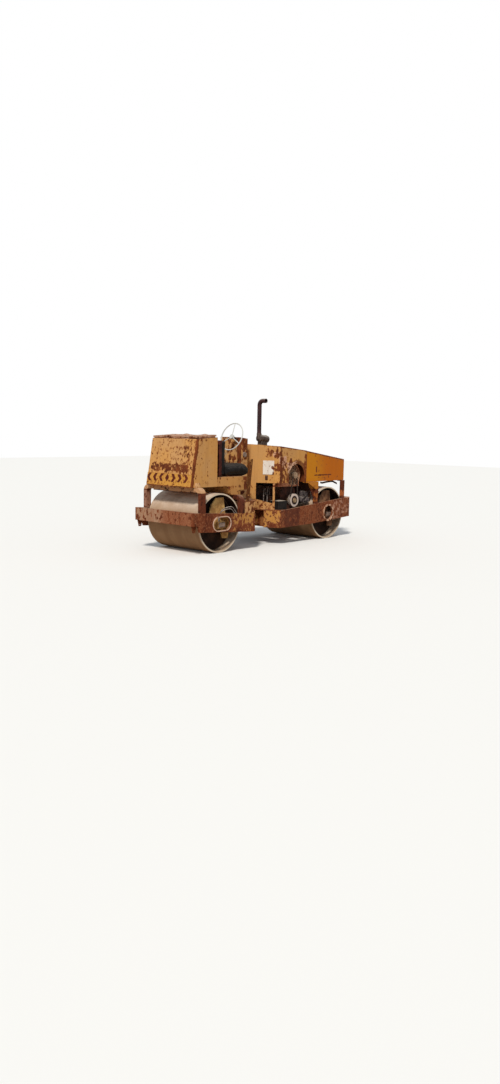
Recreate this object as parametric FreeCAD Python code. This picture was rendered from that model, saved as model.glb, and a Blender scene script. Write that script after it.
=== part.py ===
import FreeCAD, Part
import math
import os

# Articulated tandem roller, parked, with its two halves in line.
# Millimetres. +X is forward, towards the engine, +Y is the machine's left, +Z is up.
# The origin is on the floor, below the middle of the bounding box.

V = FreeCAD.Vector

# Drums
DRUM_D = 780.0
DRUM_WALL = 18.0
WEB_T = 18.0
WEB_RECESS = 140.0
STUB_R = 40.0
STUB_END_GAP = 2.0
RUNNING_GAP = 0.05
DRUM_SIDE_GAP = 10.0

# Frame widths
WIDTH = 1100.0
PLATE_T = 25.0
POST_DEPTH = 55.0

# Lengths along the machine, from its rear end forward
REAR_BEAM_DEPTH = 95.0
REAR_BEAM_GAP = 71.0
WALL_GAP = 209.0
JOINT_REACH = 256.0
BEND_REACH = 287.0
BAY_LEN = 773.0
FRONT_BEAM_GAP = 30.0
FRONT_BEAM_DEPTH = 70.0

DRUM_R = DRUM_D / 2
AXLE_Z = DRUM_R
SIDE_OUT = WIDTH / 2
SIDE_IN = SIDE_OUT - PLATE_T
DRUM_HALF = SIDE_OUT - POST_DEPTH - DRUM_SIDE_GAP
REAR_PART = REAR_BEAM_DEPTH + REAR_BEAM_GAP + DRUM_D + WALL_GAP + PLATE_T + JOINT_REACH
FRONT_PART = BEND_REACH + BAY_LEN + DRUM_D + FRONT_BEAM_GAP + FRONT_BEAM_DEPTH
FRONT_END_X = (REAR_PART + FRONT_PART) / 2
REAR_END_X = -FRONT_END_X
PIVOT_X = REAR_END_X + REAR_PART
REAR_AXLE_X = REAR_END_X + REAR_BEAM_DEPTH + REAR_BEAM_GAP + DRUM_R
FRONT_AXLE_X = FRONT_END_X - FRONT_BEAM_DEPTH - FRONT_BEAM_GAP - DRUM_R
WALL_X = PIVOT_X - JOINT_REACH
BEND_X = PIVOT_X + BEND_REACH

# Carriers of the drums, set inside the drums' ends
HUB_R = 92.0
HUB_GAP = 8.0
CARRIER_GAP = 45.0
CARRIER_T = 22.0
MOTOR_R = 62.0
MOTOR_FLANGE = 40.0
MOTOR_DEPTH = 80.0

# Rear side plate: heights of its edges, and the oval hole at the axle
REAR_TOP_AFT = AXLE_Z + 167.0
REAR_TOP_FORE = AXLE_Z + 97.0
REAR_LOW_AFT = AXLE_Z - 88.0
REAR_LOW_FORE = AXLE_Z - 150.0
REAR_STEP_Z = AXLE_Z - 2.0
REAR_STEP_LEN = 126.0
REAR_STEP_RUN = 30.0
OVAL_X = REAR_AXLE_X - 24.0
OVAL_LEN = 320.0
OVAL_H = 172.0
OVAL_RIM = 12.0
RIM_PROUD = 8.0

# Front side plate, bent inwards behind the drum
VEE_ANGLE = 60.0
VEE_LEN = 245.0
FRONT_TOP_FORE = AXLE_Z + 222.0
FRONT_LOW_AFT = AXLE_Z - 144.0
FRONT_LOW_MID = AXLE_Z - 132.0
FRONT_LOW_FORE = AXLE_Z - 78.0
FRONT_MID_X = FRONT_AXLE_X - 438.0
PORT_R = 104.0
PORT_X = FRONT_AXLE_X - 53.0
PORT_Z = AXLE_Z + 8.0

# Steering joint
PIN_R = 30.0
TUBE_R = 68.0
TUBE_LOW = AXLE_Z - 84.0
TUBE_HIGH = AXLE_Z + 44.0
FORK_T = 26.0
FORK_GAP = 6.0
FORK_R = 78.0
FORK_ROOT = 210.0
PIN_HEAD_R = 46.0
PIN_HEAD_T = 14.0
PIN_TAIL = 8.0
CROSS_INSET = 70.0

# Steering cylinder, beside the pin
CYL_Y = 120.0
CYL_Z = AXLE_Z - 20.0
CYL_REACH = 398.0
CYL_R = 30.0
CYL_PIN_R = 12.0
CYL_PIN_PROUD = 6.0
CYL_LEN = 250.0
CYL_NECK_R = 18.0
ROD_R = 15.0
ROD_INSIDE = 110.0
EYE_R = 26.0
EYE_HALF = 13.0
EAR_HALF = 34.0
EAR_T = 12.0
EAR_GAP = 2.0
CLEVIS_T = 14.0
CLEVIS_HALF = 16.0
CLEVIS_HEAD_R = 18.0
WINDOW_GAP = 18.0

# Posts that carry the bodies
KNEE_R = 35.0
CAP_T = 12.0
CAP_REACH = 60.0
BEARER_DEPTH = 70.0
BEARER_W = 52.0
GUSSET_REACH = 180.0
GUSSET_DROP = 110.0
GUSSET_T = 12.0
TANK_POST_IN = 68.0
TANK_POST_W = 84.0
LEG_POST_BACK = 299.0
LEG_POST_W = 83.0
AFT_POST_BACK = 370.0
AFT_POST_W = 60.0
FORE_POST_AHEAD = 297.0
FORE_POST_W = 48.0

# Scraper brackets: outline from the beam's outer face, and from the beam's underside
SCRAPER_T = 14.0
SCRAPER_HOLE_R = 9.0
SCRAPER_HOLE_X = REAR_END_X + 52.0
SCRAPER_HOLE_Z = REAR_STEP_Z - 66.0
SCRAPER_OUTLINE = [(12.0, 0.0), (88.0, 0.0), (70.0, -88.0), (34.0, -88.0)]

# Rear water tank and seat base
BODY_HALF = SIDE_OUT - 120.0
BODY_FLOOR_Z = DRUM_D + 85.0
TANK_LOW_X = REAR_AXLE_X - 478.0
TANK_TOP_X = REAR_AXLE_X - 370.0
TANK_FRONT_X = REAR_AXLE_X
TANK_H_AFT = 615.0
TANK_H_FORE = 639.0
TANK_TOP_AFT = BODY_FLOOR_Z + TANK_H_AFT
TANK_TOP_FORE = BODY_FLOOR_Z + TANK_H_FORE
TANK_EDGE_R = 26.0
LID_T = 14.0
LID_INSET = 22.0
BASE_FRONT_X = WALL_X - 48.0
BASE_TOP_Z = BODY_FLOOR_Z + 120.0
BASE_NOSE = 60.0
FENDER_LOW_Z = BODY_FLOOR_Z - 120.0
FENDER_GAP = 62.0
FENDER_AFT = 200.0
FENDER_SLOPE = 60.0
FENDER_CORNER_R = 45.0
LEG_LEN = 160.0

# Seat
SEAT_Y = -185.0
SEAT_W = 440.0
SEAT_PAN_W = 340.0
SEAT_BACK_X = REAR_AXLE_X + 66.0
SEAT_PLATE_T = 12.0
PAN_SETBACK = 60.0
CUSHION_FRONT_X = BASE_FRONT_X + 50.0
CUSHION_T = 150.0
CUSHION_EDGE_R = 24.0
BACKREST_T = 105.0
BACKREST_H = 459.0
BACKREST_EDGE_R = 34.0
BACK_PLATE_DROP = 120.0
SOFT_GAP = 0.3

# Platform, its step and the upright bar
FLOOR_Z = REAR_TOP_FORE + 173.0
FLOOR_T = 8.0
FLOOR_AFT_X = WALL_X - 214.0
FLOOR_SIDE_X = WALL_X + 11.0
FLOOR_NOSE_X = PIVOT_X - 10.0
FLOOR_NOSE_HALF = 230.0
APRON_X = FLOOR_AFT_X + 30.0
APRON_T = 8.0
STEP_INSET_AFT = 10.0
STEP_INSET_FORE = 6.0
STEP_HOLE_R = 11.0
STEP_HOLE_X = 90.0
STEP_HOLE_UPS = (45.0, 105.0)
UPRIGHT_X = FLOOR_AFT_X + 35.0
UPRIGHT_W = 55.0
UPRIGHT_LEAN = 65.0
UPRIGHT_H = 562.0
UPRIGHT_T = 10.0

# Console
CONSOLE_AFT_X = PIVOT_X - 197.0
CONSOLE_FORE_X = PIVOT_X - 22.0
CONSOLE_HALF = 185.0
CONSOLE_H = 846.0
CONSOLE_SLOPE = 20.0
CONSOLE_EDGE_R = 12.0

# Steering wheel
WHEEL_REACH = 103.0
WHEEL_Y = -135.0
WHEEL_UP = 6.0
WHEEL_D = 400.0
WHEEL_RIM_R = 8.0
WHEEL_RIM_SIDES = 6
WHEEL_TILT = 20.0
WHEEL_HUB_R = 30.0
WHEEL_HUB_L = 34.0
WHEEL_HUB_BACK = 22.0
SPOKE_R = 6.0
SPOKE_SECTION = [(1.0, 0.0), (0.5, 0.8), (-0.5, 0.8), (-1.0, 0.0), (-0.5, -0.8), (0.5, -0.8)]
SPOKE_ANGLES = (90, 210, 330)
COLUMN_R = 18.0

# Engine hood: heights above its floor
HOOD_HALF = SIDE_OUT - 45.0
HOOD_FLOOR_Z = DRUM_D + 91.0
HOOD_T = 6.0
HOOD_BEND_X = BEND_X + 23.0
HOOD_VEE_LEN = 422.0
HOOD_SPLIT_X = FRONT_AXLE_X - 553.0
HOOD_NOSE_Z = HOOD_FLOOR_Z + 539.0
HOOD_BEND_Z = HOOD_FLOOR_Z + 517.0
HOOD_SPLIT_Z = HOOD_FLOOR_Z + 455.0
HOOD_END_Z = HOOD_FLOOR_Z + 319.0
LEG_FLOOR_Z = HOOD_FLOOR_Z - 231.0
LEG_START = 345.0
ARCH_R = 178.0
ARCH_SPRING = 87.0
RAIL_T = 12.0
RAIL_POST = 72.0
RAIL_POST_W = 30.0
RAIL_SIDE_Z = HOOD_FLOOR_Z - 286.0
DECK_T = 10.0
DECK_FORE_X = BEND_X + 115.0
DECK_NOSE_X = PIVOT_X + 87.0
DECK_NOSE_HALF = 150.0
TANK_END_X = FRONT_AXLE_X + 390.0
TANK_ROUND = 20.0

# Engine, on two cross channels
ENGINE_X = BEND_X + BAY_LEN / 2
ENGINE_HALF = HOOD_HALF - 155.0
BED_Z = REAR_TOP_FORE - 17.0
BED_W = 60.0
BED_H = 70.0
BED_SPACING = 260.0
BED_AFT = 151.0
CASE_UP = 10.0
CASE_H = 320.0
CASE_HALF_LEN = 160.0
CASE_CORNER = 40.0
CASE_FOOT_INSET = 50.0
CASE_FOOT_W = 80.0
BANK_INSET = 30.0
BANK_HALF = ENGINE_HALF - BANK_INSET
CYLINDER_GAP = 50.0
CYLINDER_PITCH = (2 * BANK_HALF + CYLINDER_GAP) / 3
CYLINDER_YS = (-CYLINDER_PITCH, 0.0, CYLINDER_PITCH)
FIN_OUT = 20.0
CYLINDER_HALF_X = 70.0
CYLINDER_HALF_Y = (CYLINDER_PITCH - CYLINDER_GAP) / 2 - FIN_OUT
CYLINDER_H = 300.0
FIN_T = 8.0
FIN_PITCH = 34.0
FIN_COUNT = 8
HEAD_OUT = 15.0
HEAD_H = 60.0

# Belt drive on the engine's right side: two vee belts round three pulleys
FAN_BELT_Y = -HOOD_HALF + 33.0
ALT_BELT_Y = FAN_BELT_Y + 24.0
BELT_W = 13.0
BELT_T = 9.0
BELT_GAP = 0.3
GROOVE_LIP = 5.0
CRANK_X = ENGINE_X - 7.0
CRANK_Z = BED_Z + 145.0
CRANK_R = 93.0
BLOWER_X = ENGINE_X + 8.0
BLOWER_Z = HOOD_FLOOR_Z + 102.0
BLOWER_PULLEY_R = 46.0
BLOWER_R = 165.0
BLOWER_WALL = 20.0
BLOWER_DEPTH = 96.0
BLADE_COUNT = 8
BLADE_T = 14.0
BLADE_W = 40.0
BLADE_PITCH = 35.0
FAN_HUB_R = 42.0
COWL_H = 95.0
COWL_UP = 14.0
COWL_AFT = 326.0
COWL_FORE = 139.0
ALT_X = FRONT_AXLE_X - 453.0
ALT_Z = BED_Z + 132.0
ALT_R = 62.0
ALT_PULLEY_R = 38.0

# Pump at the engine's rear, and the battery
PUMP_X = ENGINE_X - 212.0
PUMP_Z = BED_Z + 150.0
PUMP_HALF = 60.0
PUMP_R = 46.0
BATTERY_X = BEND_X + 5.0
BATTERY_LEN = 180.0
BATTERY_Y = -HOOD_HALF + 5.0
BATTERY_W = 160.0
BATTERY_H = 88.0
BATTERY_CAP_H = 34.0
BATTERY_CAP_OUT = 4.0

# Exhaust: a silencer lying on the hood, and the pipe with its elbow
SILENCER_X = ENGINE_X - 155.0
SILENCER_HALF = 136.0
SILENCER_R = 78.0
SILENCER_UP = 96.0
BOSS_R = 34.0
BOSS_UP = 10.0
SADDLE_T = 10.0
SADDLE_HALF = 55.0
SADDLE_X = 88.0
INLET_R = 30.0
INLET_GAP = 8.0
PIPE_X = ENGINE_X - 256.0
PIPE_R = 26.0
PIPE_WALL = 3.0
PIPE_H = 2054.0
ELBOW_R = 56.0
OUTLET_LEN = 44.0

# Hoses
HOSE_R = 6.5
HOSE_SIDES = 6


def box(x0, x1, y0, y1, z0, z1):
    return Part.makeBox(x1 - x0, y1 - y0, z1 - z0, V(x0, y0, z0))


def face(points):
    return Part.Face(Part.makePolygon(points + [points[0]]))


def slab_xz(points, y0, y1):
    """A plate cut to an outline in X and Z, from y0 to y1."""
    return face([V(x, y0, z) for x, z in points]).extrude(V(0, y1 - y0, 0))


def slab_xy(points, z0, z1):
    return face([V(x, y, z0) for x, y in points]).extrude(V(0, 0, z1 - z0))


def rod_x(y, z, x0, x1, r):
    return Part.makeCylinder(r, x1 - x0, V(x0, y, z), V(1, 0, 0))


def rod_y(x, z, y0, y1, r):
    return Part.makeCylinder(r, y1 - y0, V(x, y0, z), V(0, 1, 0))


def rod_z(x, y, z0, z1, r):
    return Part.makeCylinder(r, z1 - z0, V(x, y, z0))


def bar(a, b, r):
    """A round bar between two points."""
    return Part.makeCylinder(r, (b - a).Length, a, b - a)


def slot_y(x, z, length, height, y0, y1):
    """A stadium outline, extruded along Y."""
    r = height / 2
    half = length / 2 - r
    body = box(x - half, x + half, y0, y1, z - r, z + r)
    return body.fuse([rod_y(x - half, z, y0, y1, r), rod_y(x + half, z, y0, y1, r)]).removeSplitter()


def mirrored(shape):
    return shape.mirror(V(0, 0, 0), V(0, 1, 0))


def both(shape):
    return [shape, mirrored(shape)]


def line_z(x, x0, z0, x1, z1):
    return z0 + (z1 - z0) * (x - x0) / (x1 - x0)


def rear_top(x):
    return line_z(x, REAR_END_X, REAR_TOP_AFT, WALL_X, REAR_TOP_FORE)


def rear_low(x):
    return line_z(x, REAR_END_X + REAR_STEP_LEN, REAR_LOW_AFT, WALL_X, REAR_LOW_FORE)


def front_top(x):
    return line_z(x, BEND_X, REAR_TOP_FORE, FRONT_END_X, FRONT_TOP_FORE)


def tank_roof(x):
    return line_z(x, TANK_TOP_X, TANK_TOP_AFT, TANK_FRONT_X, TANK_TOP_FORE)


os.makedirs("parts", exist_ok=True)
made = []


def save(name, shapes):
    solids = shapes if isinstance(shapes, list) else [shapes]
    shape = solids[0] if len(solids) == 1 else Part.makeCompound(solids)
    if not shape.isValid():
        print("invalid", name)
    shape.exportStep("parts/" + name + ".step")
    made.append(name)


# Ends of the shaft train at one end of a drum, measured out from the middle
DISC_OUT = DRUM_HALF - WEB_RECESS
CARRIER_IN = DISC_OUT + HUB_GAP + CARRIER_GAP
CARRIER_OUT = CARRIER_IN + CARRIER_T


# The two drums: an open-ended steel shell with a disc set back in each end.
# Each disc carries a stub shaft that turns in the hub of the frame's carrier.
def drum(axle_x):
    disc_in = DISC_OUT - WEB_T
    inner = DRUM_R - DRUM_WALL
    stub = CARRIER_OUT - STUB_END_GAP
    outline = [
        (0, stub), (STUB_R, stub), (STUB_R, DISC_OUT), (inner, DISC_OUT),
        (inner, DRUM_HALF), (DRUM_R, DRUM_HALF), (DRUM_R, -DRUM_HALF), (inner, -DRUM_HALF),
        (inner, -DISC_OUT), (STUB_R, -DISC_OUT), (STUB_R, -stub), (0, -stub),
        (0, -disc_in), (inner, -disc_in), (inner, disc_in), (0, disc_in),
    ]
    ring = face([V(axle_x + r, y, AXLE_Z) for r, y in outline])
    return ring.revolve(V(axle_x, 0, AXLE_Z), V(0, 1, 0), 360)


# The carrier: a plate inside the drum's end with a lobe below, the hub, the drive motor
# and the spacers that hold it off the side plate. Outline from the axle: forward, up.
CARRIER_OUTLINE = [
    (-130.0, -90.0), (100.0, -90.0), (118.0, -212.0), (222.0, -222.0), (238.0, -150.0), (170.0, -90.0),
    (170.0, 110.0), (137.0, 328.0), (-9.0, 328.0), (-91.0, 239.0), (-130.0, 110.0),
]
# Motor's valve block, from the axle: aft, forward, low, high
MOTOR_BLOCK = (-50.0, 95.0, -65.0, 20.0)
# Spacers, from the axle. Columns: aft, forward, low, high
REAR_SPACERS = [(150.0, 170.0, -90.0, 80.0), (40.0, 130.0, 98.0, 124.0), (122.0, 185.0, -116.0, -92.0)]
FRONT_SPACERS = [(150.0, 170.0, -90.0, 80.0), (-60.0, 120.0, 122.0, 150.0)]


def carrier(axle_x, spacers):
    plate = slab_xz([(axle_x + x, AXLE_Z + z) for x, z in CARRIER_OUTLINE], -CARRIER_OUT, -CARRIER_IN)
    hub = rod_y(axle_x, AXLE_Z, -CARRIER_OUT, -DISC_OUT - HUB_GAP, HUB_R)
    bore = rod_y(axle_x, AXLE_Z, -CARRIER_OUT, -DISC_OUT, STUB_R + RUNNING_GAP)
    aft, fore, low, high = MOTOR_BLOCK
    motor = [
        rod_y(axle_x, AXLE_Z, -CARRIER_OUT - MOTOR_FLANGE, -CARRIER_OUT, MOTOR_R),
        box(axle_x + aft, axle_x + fore, -CARRIER_OUT - MOTOR_DEPTH, -CARRIER_OUT,
            AXLE_Z + low, AXLE_Z + high),
    ]
    blocks = [box(axle_x + a, axle_x + b, -SIDE_IN, -CARRIER_OUT, AXLE_Z + c, AXLE_Z + d)
              for a, b, c, d in spacers]
    return plate.fuse(hub).cut(bore).fuse(motor + blocks).removeSplitter()


for module, axle_x, spacers in (("rear", REAR_AXLE_X, REAR_SPACERS), ("front", FRONT_AXLE_X, FRONT_SPACERS)):
    save(module + "_drum", drum(axle_x))
    save(module + "_drum_carriers", both(carrier(axle_x, spacers)))


# Rear frame: two heavy side plates, a beam behind the drum and a cross wall ahead of it.
def rear_side_plate():
    step_x = REAR_END_X + REAR_STEP_LEN
    outline = [
        (REAR_END_X, REAR_STEP_Z), (step_x - REAR_STEP_RUN, REAR_STEP_Z), (step_x, REAR_LOW_AFT),
        (WALL_X, REAR_LOW_FORE), (WALL_X, REAR_TOP_FORE), (REAR_END_X, REAR_TOP_AFT),
    ]
    plate = slab_xz(outline, -SIDE_OUT, -SIDE_IN)
    rim = slot_y(OVAL_X, AXLE_Z, OVAL_LEN + 2 * OVAL_RIM, OVAL_H + 2 * OVAL_RIM,
                 -SIDE_OUT - RIM_PROUD, -SIDE_OUT)
    hole = slot_y(OVAL_X, AXLE_Z, OVAL_LEN, OVAL_H, -SIDE_OUT - RIM_PROUD, -SIDE_IN)
    return plate.fuse(rim).cut(hole).removeSplitter()


right = rear_side_plate()
save("rear_side_plate_right", right)
save("rear_side_plate_left", mirrored(right))

beam_x = REAR_END_X + REAR_BEAM_DEPTH
save("rear_beam", slab_xz([(REAR_END_X, REAR_STEP_Z), (beam_x, REAR_STEP_Z), (beam_x, rear_top(beam_x)),
                           (REAR_END_X, REAR_TOP_AFT)], -SIDE_IN, SIDE_IN))


def wedge_arm(root_x, z0, z1):
    """A flat arm, wide at its root and round at the steering pin."""
    arm = slab_xy([(root_x, -FORK_ROOT), (root_x, FORK_ROOT),
                   (PIVOT_X, FORK_R), (PIVOT_X, -FORK_R)], z0, z1)
    return arm.fuse(rod_z(PIVOT_X, 0, z0, z1, FORK_R)).removeSplitter()


CYL_AFT_X = PIVOT_X - CYL_REACH


def cylinder_ear(z):
    aft = WALL_X - PLATE_T
    outline = [(aft, CYL_Y - EAR_HALF), (aft, CYL_Y + EAR_HALF), (CYL_AFT_X, CYL_Y + EAR_HALF),
               (CYL_AFT_X - EAR_HALF, CYL_Y + CYL_PIN_R), (CYL_AFT_X - EAR_HALF, CYL_Y - CYL_PIN_R),
               (CYL_AFT_X, CYL_Y - EAR_HALF)]
    return slab_xy(outline, z, z + EAR_T)


def rear_cross_member():
    wall = box(WALL_X - PLATE_T, WALL_X, -SIDE_IN, SIDE_IN, rear_low(WALL_X - PLATE_T), REAR_TOP_FORE)
    arms = [wedge_arm(WALL_X, TUBE_LOW, TUBE_LOW + FORK_T),
            wedge_arm(WALL_X, TUBE_HIGH - FORK_T, TUBE_HIGH)]
    tube = rod_z(PIVOT_X, 0, TUBE_LOW, TUBE_HIGH, TUBE_R)
    ears = [cylinder_ear(z) for z in (CYL_Z - CYL_R - EAR_GAP - EAR_T, CYL_Z + CYL_R + EAR_GAP)]
    bore = rod_z(PIVOT_X, 0, TUBE_LOW, TUBE_HIGH, PIN_R + RUNNING_GAP)
    window = rod_x(CYL_Y, CYL_Z, WALL_X - PLATE_T, WALL_X, CYL_R + WINDOW_GAP)
    eye = rod_z(CYL_AFT_X, CYL_Y, CYL_Z - CYL_REACH, CYL_Z + CYL_REACH, CYL_PIN_R)
    return wall.fuse(arms + ears + [tube]).cut([bore, window, eye]).removeSplitter()


save("rear_cross_member", rear_cross_member())


# Posts on the frames. The rear ones are bent inwards below the body as a knee.
# Columns: from, width, top
REAR_POSTS = [(TANK_LOW_X + TANK_POST_IN, TANK_POST_W, BODY_FLOOR_Z),
              (WALL_X - LEG_POST_BACK, LEG_POST_W, FENDER_LOW_Z)]
FRONT_POSTS = [(FRONT_AXLE_X - AFT_POST_BACK, AFT_POST_W, HOOD_FLOOR_Z),
               (FRONT_AXLE_X + FORE_POST_AHEAD, FORE_POST_W, HOOD_FLOOR_Z)]


def foot_cut(x0, x1, foot):
    """What lies below a post's slanting foot."""
    return slab_xz([(x0, foot(x0)), (x1, foot(x1)), (x1, 0), (x0, 0)], -SIDE_OUT, 0)


def knee_post(x0, width, top):
    x1 = x0 + width
    out_r = POST_DEPTH + KNEE_R
    bend_y = -SIDE_OUT + out_r
    bend_z = top - out_r
    end_y = -BODY_HALF + CAP_REACH
    low = rear_top(x1)
    half = math.sqrt(0.5)

    def at(y, z):
        return V(x0, y, z)

    def arc(r, start, end):
        return Part.Arc(start, at(bend_y - r * half, bend_z + r * half), end).toShape()

    outer = [at(-SIDE_OUT, low), at(-SIDE_OUT, bend_z), at(bend_y, top), at(end_y, top)]
    inner = [at(end_y, top - POST_DEPTH), at(bend_y, top - POST_DEPTH),
             at(-SIDE_OUT + POST_DEPTH, bend_z), at(-SIDE_OUT + POST_DEPTH, low)]
    edges = [
        Part.LineSegment(outer[0], outer[1]).toShape(), arc(out_r, outer[1], outer[2]),
        Part.LineSegment(outer[2], outer[3]).toShape(), Part.LineSegment(outer[3], inner[0]).toShape(),
        Part.LineSegment(inner[0], inner[1]).toShape(), arc(KNEE_R, inner[1], inner[2]),
        Part.LineSegment(inner[2], inner[3]).toShape(), Part.LineSegment(inner[3], outer[0]).toShape(),
    ]
    post = Part.Face(Part.Wire(edges)).extrude(V(x1 - x0, 0, 0))
    return post.cut(foot_cut(x0, x1, rear_top))


def rear_posts():
    tank_post, leg_post = [both(knee_post(*row)) for row in REAR_POSTS]
    x0, width, top = REAR_POSTS[0]
    mid = x0 + width / 2
    reach = BODY_HALF - CAP_REACH
    bearer = box(mid - BEARER_W / 2, mid + BEARER_W / 2, -reach, reach, top - BEARER_DEPTH, top)
    portal = tank_post[0].fuse([tank_post[1], bearer]).removeSplitter()
    return [portal] + leg_post


save("rear_posts", rear_posts())


def front_post(x0, width, top, gusset):
    x1 = x0 + width
    post = slab_xz([(x0, front_top(x0)), (x1, front_top(x1)), (x1, top), (x0, top)],
                   -SIDE_OUT, -SIDE_OUT + POST_DEPTH)
    cap = box(x0 - gusset, x1, -SIDE_OUT, -HOOD_HALF + CAP_REACH, top - CAP_T, top)
    pieces = [cap]
    if gusset:
        pieces.append(slab_xz([(x0, top), (x0 - gusset, top), (x0 - gusset, top - CAP_T),
                               (x0, top - GUSSET_DROP)], -SIDE_OUT, -SIDE_OUT + GUSSET_T))
    return post.fuse(pieces).removeSplitter()


front_posts = []
for row, reach in zip(FRONT_POSTS, (GUSSET_REACH, 0)):
    front_posts += both(front_post(*row, reach))
save("front_posts", front_posts)


# Scraper brackets below the ends of the rear beam
def scraper_bracket():
    tab = slab_xz([(REAR_END_X + x, REAR_STEP_Z + z) for x, z in SCRAPER_OUTLINE],
                  -SIDE_IN, -SIDE_IN + SCRAPER_T)
    return tab.cut(rod_y(SCRAPER_HOLE_X, SCRAPER_HOLE_Z, -SIDE_IN, -SIDE_IN + SCRAPER_T, SCRAPER_HOLE_R))


save("scraper_brackets", both(scraper_bracket()))


# Rear water tank: its end leans, its roof rises forward
def rear_tank():
    outline = [(TANK_LOW_X, BODY_FLOOR_Z), (TANK_FRONT_X, BODY_FLOOR_Z),
               (TANK_FRONT_X, TANK_TOP_FORE), (TANK_TOP_X, TANK_TOP_AFT)]
    block = slab_xz(outline, -BODY_HALF, BODY_HALF)
    edges = [e for e in block.Edges
             if e.BoundBox.YLength < 1 and e.BoundBox.XMax < TANK_TOP_X + 1 and e.BoundBox.ZLength > 1]
    return block.makeFillet(TANK_EDGE_R, edges)


save("rear_tank", rear_tank())

lid_aft = TANK_TOP_X + LID_INSET
lid_fore = TANK_FRONT_X - LID_INSET
save("rear_tank_lid", slab_xz([(lid_aft, tank_roof(lid_aft)), (lid_fore, tank_roof(lid_fore)),
                               (lid_fore, tank_roof(lid_fore) + LID_T),
                               (lid_aft, tank_roof(lid_aft) + LID_T)],
                              -BODY_HALF + LID_INSET, BODY_HALF - LID_INSET))


# Seat base: it arches over the drum, and a leg at its front comes down to the knee posts
def seat_base():
    leg_x = TANK_FRONT_X + FENDER_AFT + FENDER_SLOPE
    leg_end = BASE_FRONT_X - LEG_LEN
    block = slab_xz([(TANK_FRONT_X, BODY_FLOOR_Z), (leg_x - FENDER_SLOPE, BODY_FLOOR_Z),
                     (leg_x, FENDER_LOW_Z), (leg_end, FENDER_LOW_Z), (leg_end, BODY_FLOOR_Z - BASE_NOSE),
                     (BASE_FRONT_X, BODY_FLOOR_Z - BASE_NOSE), (BASE_FRONT_X, BASE_TOP_Z),
                     (TANK_FRONT_X, BASE_TOP_Z)], -BODY_HALF, BODY_HALF)
    corner = [e for e in block.Edges
              if e.BoundBox.YLength > BODY_HALF and abs(e.BoundBox.ZMin - BODY_FLOOR_Z) < 1
              and e.BoundBox.XMin > TANK_FRONT_X + 1]
    block = block.makeFillet(FENDER_CORNER_R, corner)
    return block.cut(rod_y(REAR_AXLE_X, AXLE_Z, -BODY_HALF, BODY_HALF, DRUM_R + FENDER_GAP))


save("seat_base", seat_base())
save("seat_base_apron", box(APRON_X, APRON_X + APRON_T, -BODY_HALF, BODY_HALF,
                            FLOOR_Z, BODY_FLOOR_Z - BASE_NOSE))

# Seat: a pan and a back plate on the base, and two soft pads
pan_top = BASE_TOP_Z + SEAT_PLATE_T
pad_low = pan_top + SOFT_GAP
backrest_x = SEAT_BACK_X + SEAT_PLATE_T + SOFT_GAP
cushion_x = backrest_x + BACKREST_T + SOFT_GAP
pan_half = SEAT_PAN_W / 2
pan = box(SEAT_BACK_X, CUSHION_FRONT_X - PAN_SETBACK, SEAT_Y - pan_half, SEAT_Y + pan_half,
          BASE_TOP_Z, pan_top)
back_plate = box(SEAT_BACK_X, SEAT_BACK_X + SEAT_PLATE_T, SEAT_Y - pan_half, SEAT_Y + pan_half,
                 BASE_TOP_Z, pan_top + BACKREST_H - BACK_PLATE_DROP)
save("seat_frame", pan.fuse(back_plate).removeSplitter())

# Cushion's side view: back from its front edge, up from its underside
CUSHION_OUTLINE = [(30.0, 0.0), (0.0, 45.0), (0.0, CUSHION_T - 60.0), (60.0, CUSHION_T - 8.0),
                   (150.0, CUSHION_T)]
CUSHION_BACK_DROP = 20.0


def cushion():
    outline = [(cushion_x, pad_low)]
    outline += [(CUSHION_FRONT_X - back, pad_low + up) for back, up in CUSHION_OUTLINE]
    outline += [(cushion_x, pad_low + CUSHION_T - CUSHION_BACK_DROP)]
    pad = slab_xz(outline, SEAT_Y - SEAT_W / 2, SEAT_Y + SEAT_W / 2)
    sides = [e for e in pad.Edges if e.BoundBox.YLength < 1 and e.BoundBox.ZMin > pad_low + 1]
    return pad.makeFillet(CUSHION_EDGE_R, sides)


def backrest():
    half = SEAT_W / 2 - PLATE_T / 2
    pad = box(backrest_x, backrest_x + BACKREST_T, SEAT_Y - half, SEAT_Y + half,
              pad_low, pad_low + BACKREST_H)
    rounded = [e for e in pad.Edges if e.BoundBox.ZMin > pad_low + 1 or e.BoundBox.ZLength > 1]
    return pad.makeFillet(BACKREST_EDGE_R, rounded)


save("seat_cushion", cushion())
save("seat_backrest", backrest())

# Platform: a floor plate that narrows to the console, on a bracket at each side
save("platform", slab_xy([(FLOOR_AFT_X, -SIDE_OUT), (FLOOR_SIDE_X, -SIDE_OUT),
                          (FLOOR_NOSE_X, -FLOOR_NOSE_HALF), (FLOOR_NOSE_X, FLOOR_NOSE_HALF),
                          (FLOOR_SIDE_X, SIDE_OUT), (FLOOR_AFT_X, SIDE_OUT)],
                         FLOOR_Z - FLOOR_T, FLOOR_Z))


def step_bracket():
    x0 = FLOOR_AFT_X + STEP_INSET_AFT
    x1 = WALL_X - STEP_INSET_FORE
    top = FLOOR_Z - FLOOR_T
    body = slab_xz([(x0, rear_top(x0)), (x1, rear_top(x1)), (x1, top), (x0, top)], -SIDE_OUT, -SIDE_IN)
    return body.cut([rod_y(x0 + STEP_HOLE_X, rear_top(x0) + up, -SIDE_OUT, -SIDE_IN, STEP_HOLE_R)
                     for up in STEP_HOLE_UPS])


save("step_brackets", both(step_bracket()))

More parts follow.
